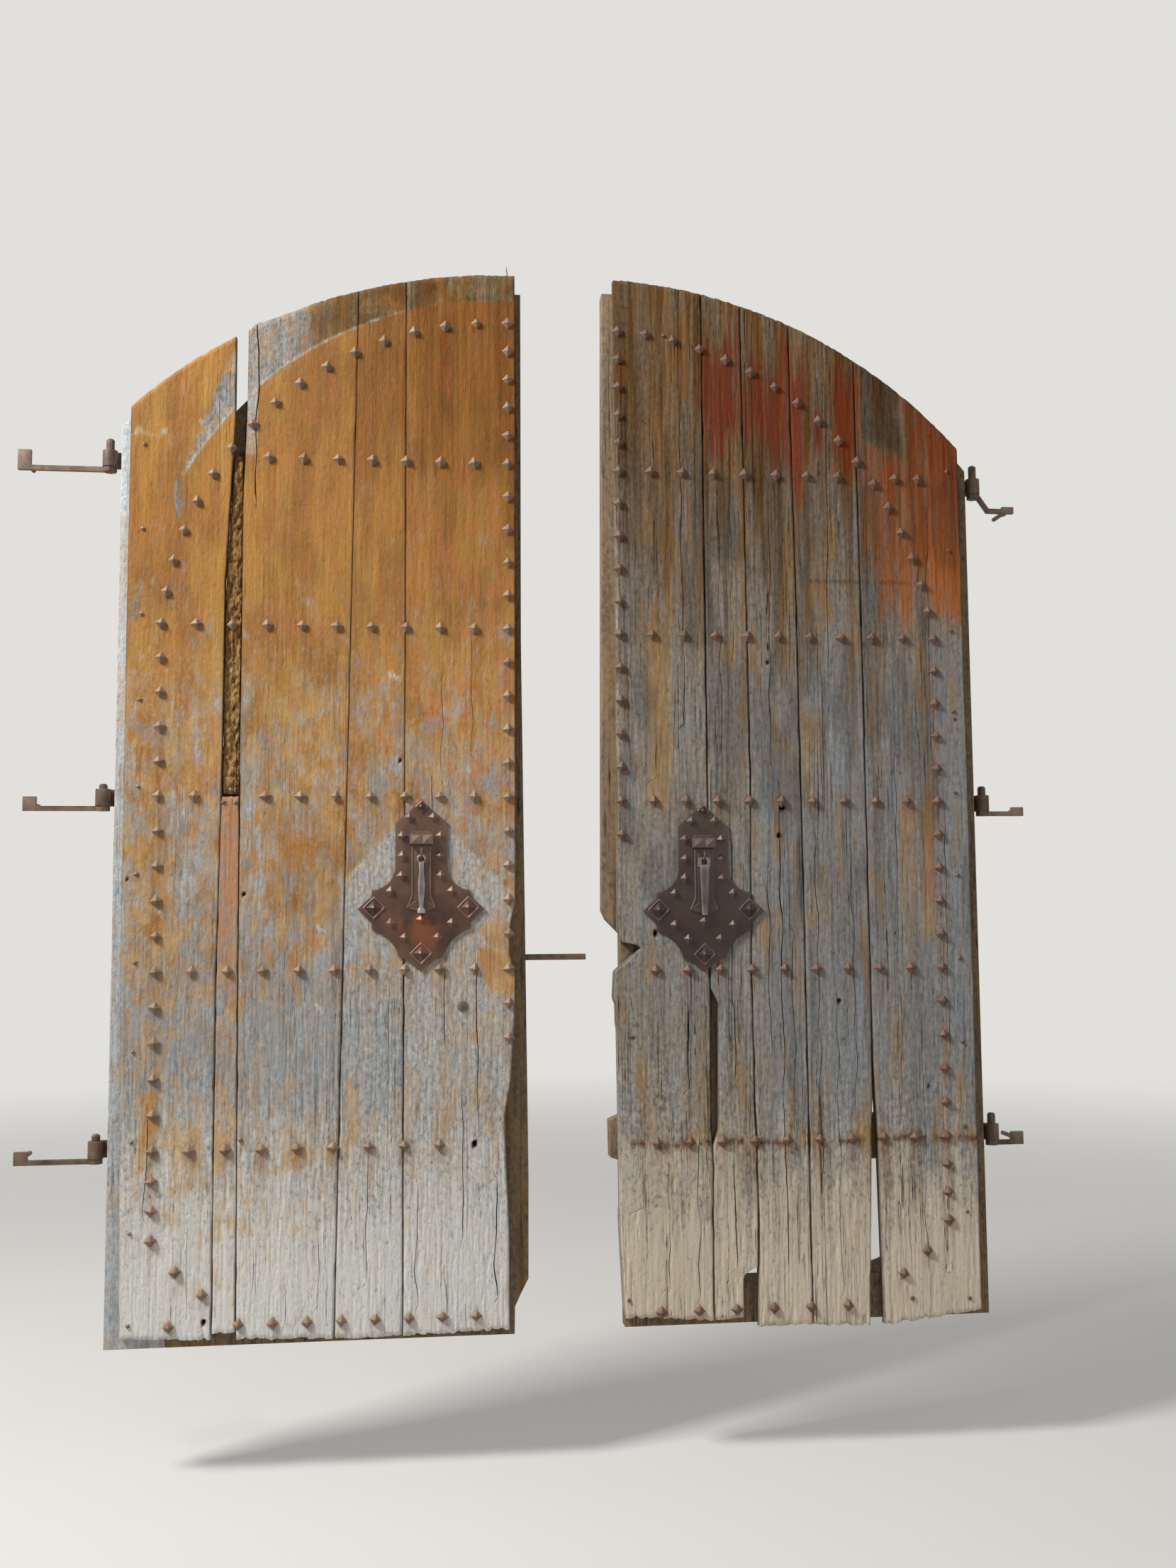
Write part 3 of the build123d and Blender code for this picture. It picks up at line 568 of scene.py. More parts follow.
# Cracks: u, from z, to z, width and depth
cracks = {
    "left": [
        (228, 1370, 1484, 3.0, 14), (146, 220, 664, 2.6, 12), (57, 72, 439, 3.2, 16),
        (190, 30, 190, 2, 10), (395, 120, 520, 1.6, 8), (600, 20, 160, 2, 10), (104, 480, 1040, 2.2, 10),
        (190, 720, 1010, 2.0, 10), (265, 60, 430, 1.8, 9), (340, 640, 960, 1.6, 8), (850, 60, 300, 1.8, 9),
        (960, 300, 620, 2.2, 10), (520, 60, 330, 1.6, 8), (120, 1500, 1900, 1.4, 6),
        (200, 1430, 1760, 1.4, 6), (700, 2180, 2760, 2.8, 14)],
    "right": [
        (490, 130, 1482, 3.4, 18), (226, 610, 885, 3.6, 16), (348, 135, 491, 3.0, 14),
        (110, 300, 820, 2.4, 12), (170, 90, 700, 2.0, 10), (640, 60, 900, 2.2, 12),
        (330, 1500, 2300, 2.0, 10), (60, 1400, 2300, 2.4, 12), (880, 120, 900, 1.8, 9),
        (960, 700, 1500, 1.8, 9), (610, 1300, 1900, 1.6, 8), (352, 620, 1420, 2.6, 14),
        (90, 60, 420, 2.4, 12), (250, 60, 560, 2.2, 12), (455, 700, 1250, 2.6, 12),
        (520, 560, 1080, 2.4, 12), (590, 330, 1350, 2.2, 12), (690, 520, 1300, 2.0, 10),
        (150, 1450, 2500, 2.2, 12), (225, 1600, 2600, 2.2, 12), (365, 1800, 2500, 2.0, 10),
        (470, 1500, 2350, 2.2, 10), (640, 1650, 2500, 2.0, 10), (820, 950, 1600, 2.0, 10),
        (930, 1750, 2300, 2.0, 10)],
}
# Knot holes and small holes: u, z, radius and depth
hollows = {
    "left": [(719, 1151, 5, 12), (312, 1506, 4, 8), (1018, 1190, 4, 6), (113, 490, 7, 16), (807, 55, 6, 14)],
    "right": [(647, 861, 6, 12), (895, 628, 4, 8), (73, 771, 4, 8), (497, 1392, 7, 16), (487, 1316, 6, 14),
              (463, 1796, 4, 8), (1000, 1640, 3, 8), (139, 1050, 6, 12)],
}


def lineAt(points, z):
    return np.interp(z, [p[1] for p in points], [p[0] for p in points])


def leafTop(leafName, u):
    centreU, topZ, radius = leaves[leafName]["top"]
    return topZ - radius + np.sqrt(radius ** 2 - (u - centreU) ** 2)


# A grid of points between two seams, and how far across each lies from 0 to 1
def fillGrid(near, far, topAt, style):
    halfway = 1500
    width = max(far[0][0] - near[0][0], lineAt(far, halfway) - lineAt(near, halfway))
    tall = topAt(near[0][0]) - near[0][1]
    columns, rows = max(6, int(width / style["across"])), int(tall / style["along"])
    across, up = np.meshgrid(np.linspace(0, 1, columns + 1), np.linspace(0, 1, rows + 1))
    z = near[0][1] + up * tall
    for _ in range(8):      # settles, because the seams' u depends on z and the arch's z on u
        low, high = lineAt(near, z) + style["seam"] / 2, lineAt(far, z) - style["seam"] / 2
        u = low + (high - low) * across
        foot = near[0][1] + (far[0][1] - near[0][1]) * across
        z = foot + (topAt(u) - foot) * up
    return u, z, across


# ---- paint and weather, as the photo shows them

# An oval patch with a ragged rim
def patch(u, z, centreU, centreZ, halfU, halfZ, seed):
    wobble = 0.55 * (roughNoise(u / 45, z / 90, seed + 5) - 0.5)
    d = np.sqrt(((u - centreU) / halfU) ** 2 + ((z - centreZ) / halfZ) ** 2) + wobble
    return 1 - ramp(0.7, 1.15, d)


# Each row is a strength, the patch's centre and half sizes, and its own seed
def patches(u, z, seed, rows):
    return sum(strength * patch(u, z, *place, seed + own) for strength, *place, own in rows)


# An upright streak that wanders a little and ends in tongues
def streak(u, z, middle, half, low, high, seed):
    soft = 160
    wander = 26 * (roughNoise(z / 260, 0, seed + 51) - 0.5)
    across = np.exp(-np.abs((u - middle + wander) / half) ** 3)
    ends = 150 * (noise(u / 15, 0, seed + 53) - 0.5) + 90 * (noise(u / 5, 0, seed + 55) - 0.5)
    return across * ramp(low, low + soft, z + ends) * (1 - ramp(high - soft, high, z + ends))


# Each row is a streak's middle, half width, lower and upper end, and its strength
def streaks(u, z, seed, rows):
    made = [strength * streak(u, z, *place, seed + i) for i, (*place, strength) in enumerate(rows)]
    return np.maximum.reduce(made)


def leftMasks(u, z, seed):
    wobble = roughNoise(u / 60, z / 120, seed) - 0.5
    fine = roughNoise(u / 14, z / 60, seed + 3) - 0.5
    cover = np.interp(z + 120 * wobble,
                      (0, 150, 300, 480, 560, 700, 900, 1100, 1400, 1600, 1900, 2200, 2900),
                      (0.2, 0.24, 0.32, 0.46, 0.38, 0.36, 0.46, 0.52, 0.6, 0.68, 0.82, 0.96, 1.0))
    cover = cover + patches(u, z, seed, (
        (-0.14, 600, 760, 140, 240, 31), (-0.1, 690, 1280, 60, 130, 37),
        (0.14, 560, 1230, 130, 200, 38), (0.1, 960, 1000, 60, 500, 39)))
    # on the first two planks, below two slanting lines from over the knocker, the wood is nearly bare
    overKnocker = z - (1392 - np.abs(u - leaves["left"]["knockerU"])) + 14 * fine
    bared = (1 - ramp(456, 470, u)) * (1 - ramp(-7, 9, overKnocker))
    barely = 0.2 + patches(u, z, seed, (
        (0.45, 40, 985, 70, 120, 32), (0.22, 430, 500, 40, 190, 33), (0.2, 410, 960, 60, 60, 34),
        (0.16, 170, 960, 180, 50, 35), (0.22, 90, 800, 90, 50, 36), (0.1, 110, 560, 100, 60, 40)))
    cover = cover * (1 - bared) + barely * bared
    cover = cover + 0.35 * streak(u, z, 962, 26, 380, 640, seed + 41)
    # outside the curve of studs the paint is dirty or gone, with a pale line along it
    rib = np.sqrt((u - 23) ** 2 + (z - 1810) ** 2)
    outside = ramp(981, 987, rib + 4 * fine) * ramp(1860, 1900, z)
    outside = outside * (1 - ramp(795, 830, u + 0.35 * (z - 2500)))
    cover = cover * (1 - outside * (0.85 - 0.4 * ramp(0.5, 0.62, roughNoise(u / 110, z / 90, seed + 42))))
    line = bell(rib - 986, 4.0) * ramp(2250, 2330, z) * ramp(280, 420, u)
    knots = np.zeros_like(u)
    for knotU, knotZ, size in ((518, 1056, 1), (520, 850, 1), (330, 1735, 0.8), (842, 2419, 0.6)):
        along, off = 0.8 * (u - knotU) + 0.6 * (z - knotZ), -0.6 * (u - knotU) + 0.8 * (z - knotZ)
        away = np.sqrt((along / 25) ** 2 + (off / 10) ** 2) / size + 0.8 * fine
        knots = np.maximum(knots, 1 - ramp(0.6, 1.1, away))
    # bare beside the crack high in the third plank, and a scraped row of studs on the fourth
    splinter = ramp(698, 702, u) * (1 - ramp(736, 745, u)) * ramp(2300, 2420, z)
    cover = cover * (1 - np.maximum(np.maximum(line, knots), splinter))
    scraped = bell(z - 2392, 16) * ramp(820, 850, u)
    cover = cover - 0.45 * scraped * ramp(0.45, 0.6, noise(u / 22, z / 22, seed + 44))
    second = 0.2 * streak(u, z, 660, 18, 1700, 1960, seed + 45)
    second = second + 0.6 * patch(u, z, 905 + 26 * wobble, 2215, 11, 58, seed + 46)
    scuffs = np.interp(z + 150 * wobble, (500, 700, 1500, 1900, 2300), (0.14, 0.4, 0.38, 0.2, 0))
    second = np.maximum(second, scuffs) * (1 - 0.75 * bared)
    greyCorner = outside * ramp(500, 620, u + 60 * wobble)
    pale = np.interp(z + 200 * wobble, (0, 180, 380, 560, 760), (0.95, 0.85, 0.62, 0.3, 0))
    blotches = ramp(0.45, 0.6, roughNoise(u / 120, z / 60, seed + 8))
    for strength, part in ((0.75, line), (0.55, knots), (0.45, outside * blotches), (0.4, splinter),
                           (0.35, greyCorner), (0.3, bared)):
        pale = np.maximum(pale, strength * part)
    dirt = 0.14 + 0.25 * ramp(0.45, 0.6, roughNoise(u / 60, z / 60, seed + 9))
    # painted shade, darker and browner: above the curve of studs and high on the meeting side, less in the
    # grey corner
    shade = np.maximum(outside, 0.7 * ramp(620, 200, u) * ramp(1900, 2600, z))
    cool = 0.1 + 0.7 * np.maximum(splinter, greyCorner)
    cool = cool + 0.6 * ramp(1250, 900, z) * ramp(520, 660, z) * ramp(290, 310, u)
    orange = 0.35 + 0.5 * ramp(1200, 1400, z) * ramp(1750, 1500, z) * ramp(560, 380, u)
    return {"cover": cover, "second": second, "pale": pale,
            "warm": np.interp(z, (0, 350, 560, 700, 1000, 2900), (0.2, 0.4, 0.6, 0.3, 0.5, 0.7)),
            "dark": outside * dirt * (1 - 0.6 * greyCorner), "shade": shade * (1 - 0.75 * greyCorner),
            "cool": cool, "orange": orange + 0.3 * ramp(300, 200, u)}


lowestRow = 490      # height of the lowest full row of studs on both leaves


# Splits that join the studs of the right leaf's lowest full row, just below their middles
def brokenRow(u, z, seed, halfWidth):
    height = z - lowestRow + 5 - 16 * (roughNoise(u / 30, 0, seed + 25) - 0.5)
    return bell(height, halfWidth) * ramp(0.38, 0.52, noise(u / 30, 0, seed + 26))


def rightMasks(u, z, seed):
    wobble = roughNoise(u / 60, z / 120, seed) - 0.5
    ochre = streaks(u, z, seed, (
        (164, 44, 1320, 2060, 0.76), (150, 50, 1950, 2850, 0.6), (536, 28, 1860, 2290, 0.66),
        (575, 30, 1300, 1760, 0.6), (650, 34, 1920, 2280, 0.5), (905, 26, 950, 1560, 0.74),
        (850, 34, 880, 1560, 0.5), (945, 20, 1380, 1500, 0.56), (780, 24, 1500, 2000, 0.4),
        (520, 16, 1280, 1480, 0.5), (480, 16, 1060, 1180, 0.4), (600, 22, 980, 1240, 0.3)))
    red = streaks(u, z, seed + 60, (
        (338, 70, 2340, 2790, 0.92), (440, 58, 2360, 2740, 0.97), (512, 52, 2280, 2730, 0.9),
        (545, 40, 2200, 2790, 0.8), (590, 28, 2500, 2760, 0.75), (626, 22, 2310, 2600, 0.8),
        (704, 42, 2300, 2730, 0.95), (232, 34, 2520, 2790, 0.5), (66, 14, 2560, 2760, 0.4),
        (240, 40, 2360, 2440, 0.42), (725, 14, 2100, 2340, 0.3)))
    # the last plank: red and orange over its upper part, with a green-black patch and a bare stripe
    greenPatch = ramp(742, 752, u) * (1 - ramp(848, 876, u + 40 * wobble))
    greenPatch = greenPatch * ramp(-14, 30, z - 2440 + 0.45 * (u - 745))
    body = ramp(740, 748, u) * ramp(1840, 2000, z + 90 * wobble) * (1 - greenPatch)
    body = body * ramp(-60, 50, u - 715 - 0.42 * (2160 - z) + 110 * wobble)
    stripe = 1 - 0.75 * bell(u - 905 - 0.06 * (2100 - z), 26) * ramp(2130, 1950, z)
    red = np.maximum(red, (0.6 + 0.2 * ramp(860, 960, u)) * body * stripe)
    # the bleached foot, with a ragged upper edge
    ragged = 190 * (noise(u / 13, 0, seed + 21) - 0.5) + 120 * (roughNoise(u / 30, z / 90, seed + 22) - 0.5)
    pale = np.interp(z + 160 * wobble + ragged,
                     (0, 180, 330, 450, 600, 800), (0.92, 0.88, 0.7, 0.44, 0.25, 0))
    pale = np.maximum(pale, 0.62 * ramp(560, 470, z + 60 * wobble) * ramp(400, 330, u))
    pale = np.maximum(pale, 0.4 * ramp(1000, 500, z) * ramp(290, 200, u))
    # a painted highlight along the meeting side, where the plank's edge catches the light
    rim = bell(u - lineAt(planks["right"][0][0], z), 7) * ramp(1000, 1200, z) * ramp(2600, 2300, z)
    pale = np.maximum(pale, 0.7 * rim)
    # warm wood at random, warmer towards the top as part of the painted shade there, warm low on the meeting
    # side and along the lowest full row
    warm = 0.2 + 0.45 * ramp(0.48, 0.62, roughNoise(u / 45, z / 130, seed + 23)) + 0.3 * ramp(1500, 2300, z)
    warm = warm + 0.3 * ramp(900, 300, z) * ramp(420, 300, u) + 0.6 * bell(z - 492, 26)
    # painted shade, darker and browner towards the top
    shade = ramp(1450, 2600, z) * (0.75 + 0.5 * (roughNoise(u / 40, z / 500, seed + 18) - 0.3))
    cool = 0.15 + 0.45 * ramp(420, 460, u) * ramp(1900, 1700, z) * ramp(340, 420, z)
    cool = cool + 0.4 * streak(u, z, 930, 34, 1500, 2120, seed + 19)
    cool = cool + 0.4 * streak(u, z, 240, 40, 1850, 2300, seed + 20)
    # a dark line across the last two planks, stains, painted shadow in the split along the lowest full row,
    # painted shade high on the meeting side, and knots with dark rings
    line = bell(z - 2030, 4.0) * ramp(545, 560, u) * ramp(905, 850, u)
    stain = ramp(0.46, 0.66, roughNoise(u / 70, z / 240, seed + 24))
    stain = stain * ramp(800, 1200, z) * ramp(2500, 2300, z)
    dark = np.zeros_like(u)
    for strength, part in ((0.5, greenPatch), (0.5, line), (0.3, stain), (0.5, brokenRow(u, z, seed, 5))):
        dark = np.maximum(dark, strength * part)
    dark = dark + 0.14 * ramp(2250, 2550, z) * ramp(260, 150, u)
    for knotU, knotZ, size, strength in ((145, 600, 12, 0.45), (139, 336, 11, 0.3), (657, 749, 7, 0.0)):
        away = np.sqrt((u - knotU) ** 2 + ((z - knotZ) / 1.2) ** 2) / size
        pale = np.maximum(pale, strength * (1 - ramp(0.7, 1.1, away)))
        dark = np.maximum(dark, 0.6 * bell(away - 1.15, 0.2))
    orange = 0.1 + ramp(738, 750, u) * (0.35 + 0.55 * ramp(2480, 2180, z + 0.5 * (u - 880)))
    return {"cover": ochre, "second": red, "pale": pale, "warm": warm, "dark": dark,
            "shade": shade * (1 - 0.8 * rim), "cool": cool, "orange": orange}


# Rust round each stud, and run down from it
def rustBelowStuds(leafName, u, z):
    rust = np.zeros_like(u)
    for centre in studPlaces[leafName]:
        studU, studZ = toLeaf(leafName, centre.x, centre.z)
        strength = 0.9 if abs(studZ - lowestRow) < 40 else 0.45      # the lowest full row rusts most
        near = (np.abs(u - studU) < 60) & (z < studZ + 30) & (z > studZ - 170)
        du, dz = u[near] - studU, studZ - z[near]
        spread = bell(du, 14 + 0.06 * np.maximum(dz, 0))
        fall = np.where(dz > 0, np.exp(-dz / 55), bell(dz, 16))
        rust[near] = np.maximum(rust[near], strength * spread * fall)
    return rust


# ---- boards with worn edges, cracks and holes

# Cracks pull three columns of the grid together and sink the middle one, which also gets painted shadow
def cutCracks(leafName, near, far, u, z, seed):
    sink, shade = np.zeros_like(u), np.zeros_like(u)
    columns = u.shape[1]
    height = 1000      # where the seams tell which cracks are this plank's
    first, last = lineAt(near, height), lineAt(far, height)
    for crackU, low, high, width, depth in cracks[leafName]:
        if not (first + 12 < crackU < last - 12):
            continue
        path = crackU + 10 * (noise(z[:, 0] / 90, seed, seed + 41) - 0.5)
        path = path + 1.6 * (noise(z[:, 0] / 14, seed, seed + 43) - 0.5)
        column = int(round((crackU - first) / (last - first) * (columns - 1)))
        rowZ = z[:, column]
        part = ramp(low, low + 60, rowZ) * (1 - ramp(high - 90, high, rowZ))
        part = part * (0.65 + 0.7 * noise(rowZ / 70, 0, seed + 47))
        active, hold = part > 0.01, np.minimum(1, part * 3)
        offset = np.where(active, path - u[:, column], 0) * hold
        u = u + offset[:, None] * bell(np.arange(columns) - column, 7.0)[None, :]
        for step in (-1, 1):
            beside = u[:, column + step]
            target = u[:, column] + step * width * part / 2
            u[:, column + step] = np.where(active, target * hold + beside * (1 - hold), beside)
        sink[:, column] += depth * np.minimum(1, part)
        shade[:, column] = np.maximum(shade[:, column], np.minimum(1, part * 2))
    return u, sink, shade


# How far wear sinks the front, in mm, given the distances to the sides, the top and the foot
def wornDepth(u, z, toSide, toTop, toFoot, weathered, style, seed):
    reach = style["edgeWear"] * (0.4 + 1.2 * roughNoise(z / 70, u / 200, seed + 1)) * weathered
    footReach = 9 * (0.3 + noise(u / 22, 0, seed + 2))
    depth = 0
    for most, distance, width in (
            (reach * 0.7, toSide, reach), (footReach * 0.5, toFoot, footReach), (3, toTop, 5)):
        depth = depth + most * (1 - np.clip(distance / width, 0, 1)) ** 2
    fibre = np.clip(roughNoise(u / 5.2, z / 75, seed + 7) - 0.42, 0, 1)
    lumps = np.clip(roughNoise(u / 13, z / 17, seed + 12) - 0.35, 0, 1)
    chips = ramp(0.72, 0.8, roughNoise(u / 26, z / 95, seed + 13)) * ramp(1300, 400, z)
    broad = roughNoise(u / 55, z / 420, seed + 11, 2)
    depth = depth + style["fibreRelief"] * 4 * weathered * fibre + style["broadRelief"] * weathered * broad
    return depth + style["lumps"] * 2 * lumps + 1.6 * chips


# Ends and sides nibbled inwards, never outwards
def nibble(u, z, across, toTop, toFoot, weathered, seed):
    foot = 7 * noise(u[0] / 13, 0, seed + 17) ** 2 + 3 * noise(u[0] / 4, 0, seed + 19)
    z = z + foot[None, :] * np.clip(1 - toFoot / 60, 0, 1)
    z = z - 3 * noise(u[-1] / 9, 0, seed + 23)[None, :] * np.clip(1 - toTop / 50, 0, 1)
    side = 1.2 * roughNoise(z / 24, 0, seed + 29) + 4.0 * ramp(0.7, 0.9, noise(z / 60, 0, seed + 31))
    beside = np.clip(1 - np.minimum(across, 1 - across) * (u.shape[1] - 1) / 3, 0, 1)
    return u + np.where(across < 0.5, 1, -1) * beside * side * weathered * 0.5, z


def makePlank(leafName, name, edges, style, seed, topAt=None, face=plankFace):
    near, far = edges
    topAt = topAt or (lambda u: leafTop(leafName, u))
    u, z, across = fillGrid(near, far, topAt, style)
    u, sink, shade = cutCracks(leafName, near, far, u, z, seed)
    toSide = np.minimum(u - lineAt(near, z), lineAt(far, z) - u)
    toTop, toFoot = topAt(u) - z, z - z[0][None, :]
    left = leafName == "left"
    weathered = 0.35 + 0.65 * ramp(1700, 500, z) if left else 0.75 + 0.25 * ramp(1500, 600, z)
    sink = sink + wornDepth(u, z, toSide, toTop, toFoot, weathered, style, seed)
    if not left:
        sink = sink + 2.4 * brokenRow(u, z, seed, 6)
    for holeU, holeZ, radius, depth in hollows[leafName]:
        away = np.sqrt((u - holeU) ** 2 + (z - holeZ) ** 2) / radius
        sink = sink + depth * (1 - ramp(0.6, 1.1, away))
        # painted shadow in the holes
        shade = np.maximum(shade, 1 - ramp(0.9, 1.5, away))
    fullU = u
    u, z = nibble(u, z, across, toTop, toFoot, weathered, seed)

    masks = (leftMasks if left else rightMasks)(u, z, seed)
    for key, value in style["masks"].items():
        masks[key] = np.interp(z, *value)
    masks["rust"] = rustBelowStuds(leafName, u, z)
    if not left:
        masks["rust"] = np.maximum(masks["rust"], 0.9 * brokenRow(u, z, seed, 13))
    # painted shadow in cracks and holes and along each board's sides at the seams, added to the dark mask
    edgeShade = style["edgeShade"] * (1 - ramp(0.5, 4.5, toSide))
    masks["dark"] = masks["dark"] + np.maximum(shade, edgeShade)
    front = face + np.clip(sink, 0, -face - 4)
    return closeBoard(leafName, name, u, front, z, fullU, masks, style["seam"] / 2, seed)


# Sides and back of a board. The sides run in three layers along the board's full width, so that
# no light shows between boards, and the masks fade to the hidden back's along them.
def closeBoard(leafName, name, u, front, z, fullU, masks, outset, seed):
    sideLayers = ((0.3, 0.2), (0.75, 0.7), (1.0, 1.0))      # share of the depth and of the fading
    # the sides between boards and the hidden back fade to these: painted brown shade and some warm wood
    hiddenMasks = {"warm": 0.3, "shade": 0.55}
    rows, columns = u.shape
    count = rows * columns
    index = np.arange(count).reshape(rows, columns)
    rim = np.concatenate([index[0, :], index[1:, -1], index[-1, -2::-1], index[-2:0:-1, 0]])
    flatY, flatZ = front.ravel(), z.ravel()
    points = [np.stack([u.ravel(), flatY, flatZ], 1)]
    column = rim % columns
    outward = np.where(column == 0, -outset, np.where(column == columns - 1, outset, 0))
    for depth, _ in sideLayers:
        points.append(np.stack([fullU.ravel()[rim] + outward, flatY[rim] * (1 - depth), flatZ[rim]], 1))
    points = np.concatenate(points)
    quads = [np.stack([index[:-1, :-1], index[:-1, 1:], index[1:, 1:], index[1:, :-1]], -1).reshape(-1, 4)]
    rings = [rim] + [count + len(rim) * i + np.arange(len(rim)) for i in range(len(sideLayers))]
    for outer, inner in zip(rings, rings[1:]):
        quads.append(np.stack([outer, inner, np.roll(inner, -1), np.roll(outer, -1)], -1))
    quads, backFace = np.concatenate(quads), rings[-1][::-1]
    if leaves[leafName]["side"] < 0:
        quads, backFace = quads[:, ::-1], backFace[::-1]
    mesh = bpy.data.meshes.new(name)
    corners = np.stack(toRow(leafName, *points.T), 1)
    mesh.from_pydata(corners.tolist(), [], quads.tolist() + [backFace.tolist()])
    smooth(mesh, 50)
    amounts = {}
    for part, mask in masks.items():
        values = np.clip(mask, 0, 1).ravel()
        faded = [values[rim] * (1 - t) + hiddenMasks.get(part, 0.0) * t for _, t in sideLayers]
        amounts[part] = np.concatenate([values] + faded)
    paintPoints(mesh, amounts, seed)
    return mesh


plankStyle = {"across": 2.6, "along": 8.0, "seam": 1.5, "edgeWear": 5.5, "edgeShade": 0.55,
              "fibreRelief": 1.0, "broadRelief": 2.2, "lumps": 0.0, "masks": {}}
for leafName, boards in planks.items():
    for number, edges in enumerate(boards, 1):
        seed = 10 * number + (3 if leafName == "left" else 7)
        mesh = makePlank(leafName, f"{leafName}Plank{number}", edges, plankStyle, seed)
        newPiece(mesh.name, mesh, leafName + "_leaf", finishes[leafName + "Plank"],
                 [f"{leafName}_plank_{number}"])

# Strips with flat tops and some masks of their own, given as heights and the amounts there
none = ((0,), (0,))
fillerStrip = {
    "name": "fillerStrip", "leaf": "left", "finish": "filler", "stands": ["left_filler_strip"], "seed": 91,
    "top": 1410, "face": plankFace,
    "edges": ([(727.5, 25), (732.5, 900), (735.5, 1411)], [(786.5, 25), (787.5, 900), (780.5, 1411)]),
    "style": dict(plankStyle, seam=0.5, edgeWear=2.5, edgeShade=0.15, masks={
        "cover": ((0, 300, 600, 850, 1000, 1200, 1410), (0.2, 0.4, 0.5, 0.45, 0.7, 0.95, 1.0)),
        "orange": ((0, 1410), (0.6, 0.8))}),
}
rottenStrip = {
    "name": "rottenStrip", "leaf": "left", "finish": "rotten", "stands": ["left_rotten_strip"], "seed": 93,
    "top": 2335, "face": plankFace + 5,
    "edges": ([(736, 1414), (736, 1950), (736, 2335)],
              [(779, 1414), (779, 1720), (777, 1980), (767, 2180), (762, 2290), (758, 2335)]),
    "style": dict(plankStyle, across=1.8, along=3.5, edgeWear=6.0, fibreRelief=3.0, broadRelief=7.0, seam=0.0,
                  lumps=9.0, masks={"cover": none, "second": none, "cool": none,
                                    "pale": ((1400, 1480, 3000), (0.4, 0, 0)),
                                    # painted shade, darker towards the strip's top
                                    "shade": ((1400, 2350), (0, 0.5))}),
}
# A dark board where there is only shade: set back in the open gap between the right leaf's first two planks,
# all in painted shade, so that the gap looks dark instead of showing the pale background
rightTongue = {
    "name": "rightTongue", "leaf": "right", "finish": "rightPlank", "stands": (), "seed": 95,
    "top": 900, "face": -12,
    "edges": ([(286, 484), (286, 520), (286, 884), (288, 900)],
              [(310, 484), (312, 520), (314, 860), (292, 900)]),
    "style": dict(plankStyle, seam=0.0, masks={"pale": none, "shade": ((0,), (0.7,))}),
}
for strip in (fillerStrip, rottenStrip, rightTongue):
    leafName = strip["leaf"]
    mesh = makePlank(leafName, strip["name"], strip["edges"], strip["style"], strip["seed"],
                     lambda u: strip["top"] + 0 * u, strip["face"])
    newPiece(mesh.name, mesh, leafName + "_leaf", finishes[strip["finish"]],
             strip["stands"])
print("planks made")


# ---- CAD solids that get soft edges

def softCopy(nodeName, width, material, seed=1.0):
    bm = solidMesh(nodeName)
    bmesh.ops.dissolve_limit(bm, angle_limit=radians(1), verts=bm.verts, edges=bm.edges)
    sharp = [e for e in bm.edges if len(e.link_faces) == 2 and e.calc_face_angle(0) > radians(35)]
    bmesh.ops.bevel(bm, geom=sharp, offset=width / 1000, segments=2, profile=0.6, affect="EDGES",
                    clamp_overlap=True, loop_slide=True)
    bmesh.ops.triangulate(bm, faces=[f for f in bm.faces if len(f.verts) > 4])
    mesh = finishBmesh(bm, nodeName + "_soft", 40, recalc=False)
    paintPoints(mesh, {"warm": 0.4, "cool": 0.2}, seed)
    newPiece(mesh.name, mesh, nodes[nodeName]["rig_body"], material, [nodeName])


framingNames = ["hinge_stile", "meeting_stile", "arch_rib", "corner_brace", "bottom_rail"]
framingNames += [f"rail_{i}" for i in range(1, 6)]
for leafName in leaves:
    for i, name in enumerate(framingNames):
        # the left hinge stile gets the paler timber, partly a painted highlight
        finish = finishes["paleTimber" if (leafName, name) == ("left", "hinge_stile") else "framing"]
        softCopy(f"{leafName}_{name}", 2.0, finish, 60 + i)
hingeNames = [f"{side}_{kind}_{i}" for side in leaves for kind in ("strap", "pintle") for i in (1, 2, 3)]
for name in hingeNames + ["left_bolt", "left_bolt_staples", "right_bolt_keeper"]:
    softCopy(name, 1.2, finishes["hinge"])
print("framing and ironwork made")


# ---- studs, in metres and degrees

studStyle = {"size": 0.033, "height": 0.0125, "skirt": 0.004, "headHeight": 0.013,
             "turn": 9.0, "lean": 5.0, "spread": 0.1, "seed": 11}
nailStyle = {"size": 0.014, "height": 0.005, "skirt": 0.003, "headHeight": 0.005,
             "turn": 30.0, "lean": 8.0, "spread": 0.15, "seed": 23}
plateStudStyle = {"size": 0.029, "height": 0.0108, "skirt": 0.001, "headHeight": 0.011,
                  "turn": 5.0, "lean": 4.0, "spread": 0.07, "seed": 5}
longNail = 0.035      # taller than any head, so this tells the long nail from the rest


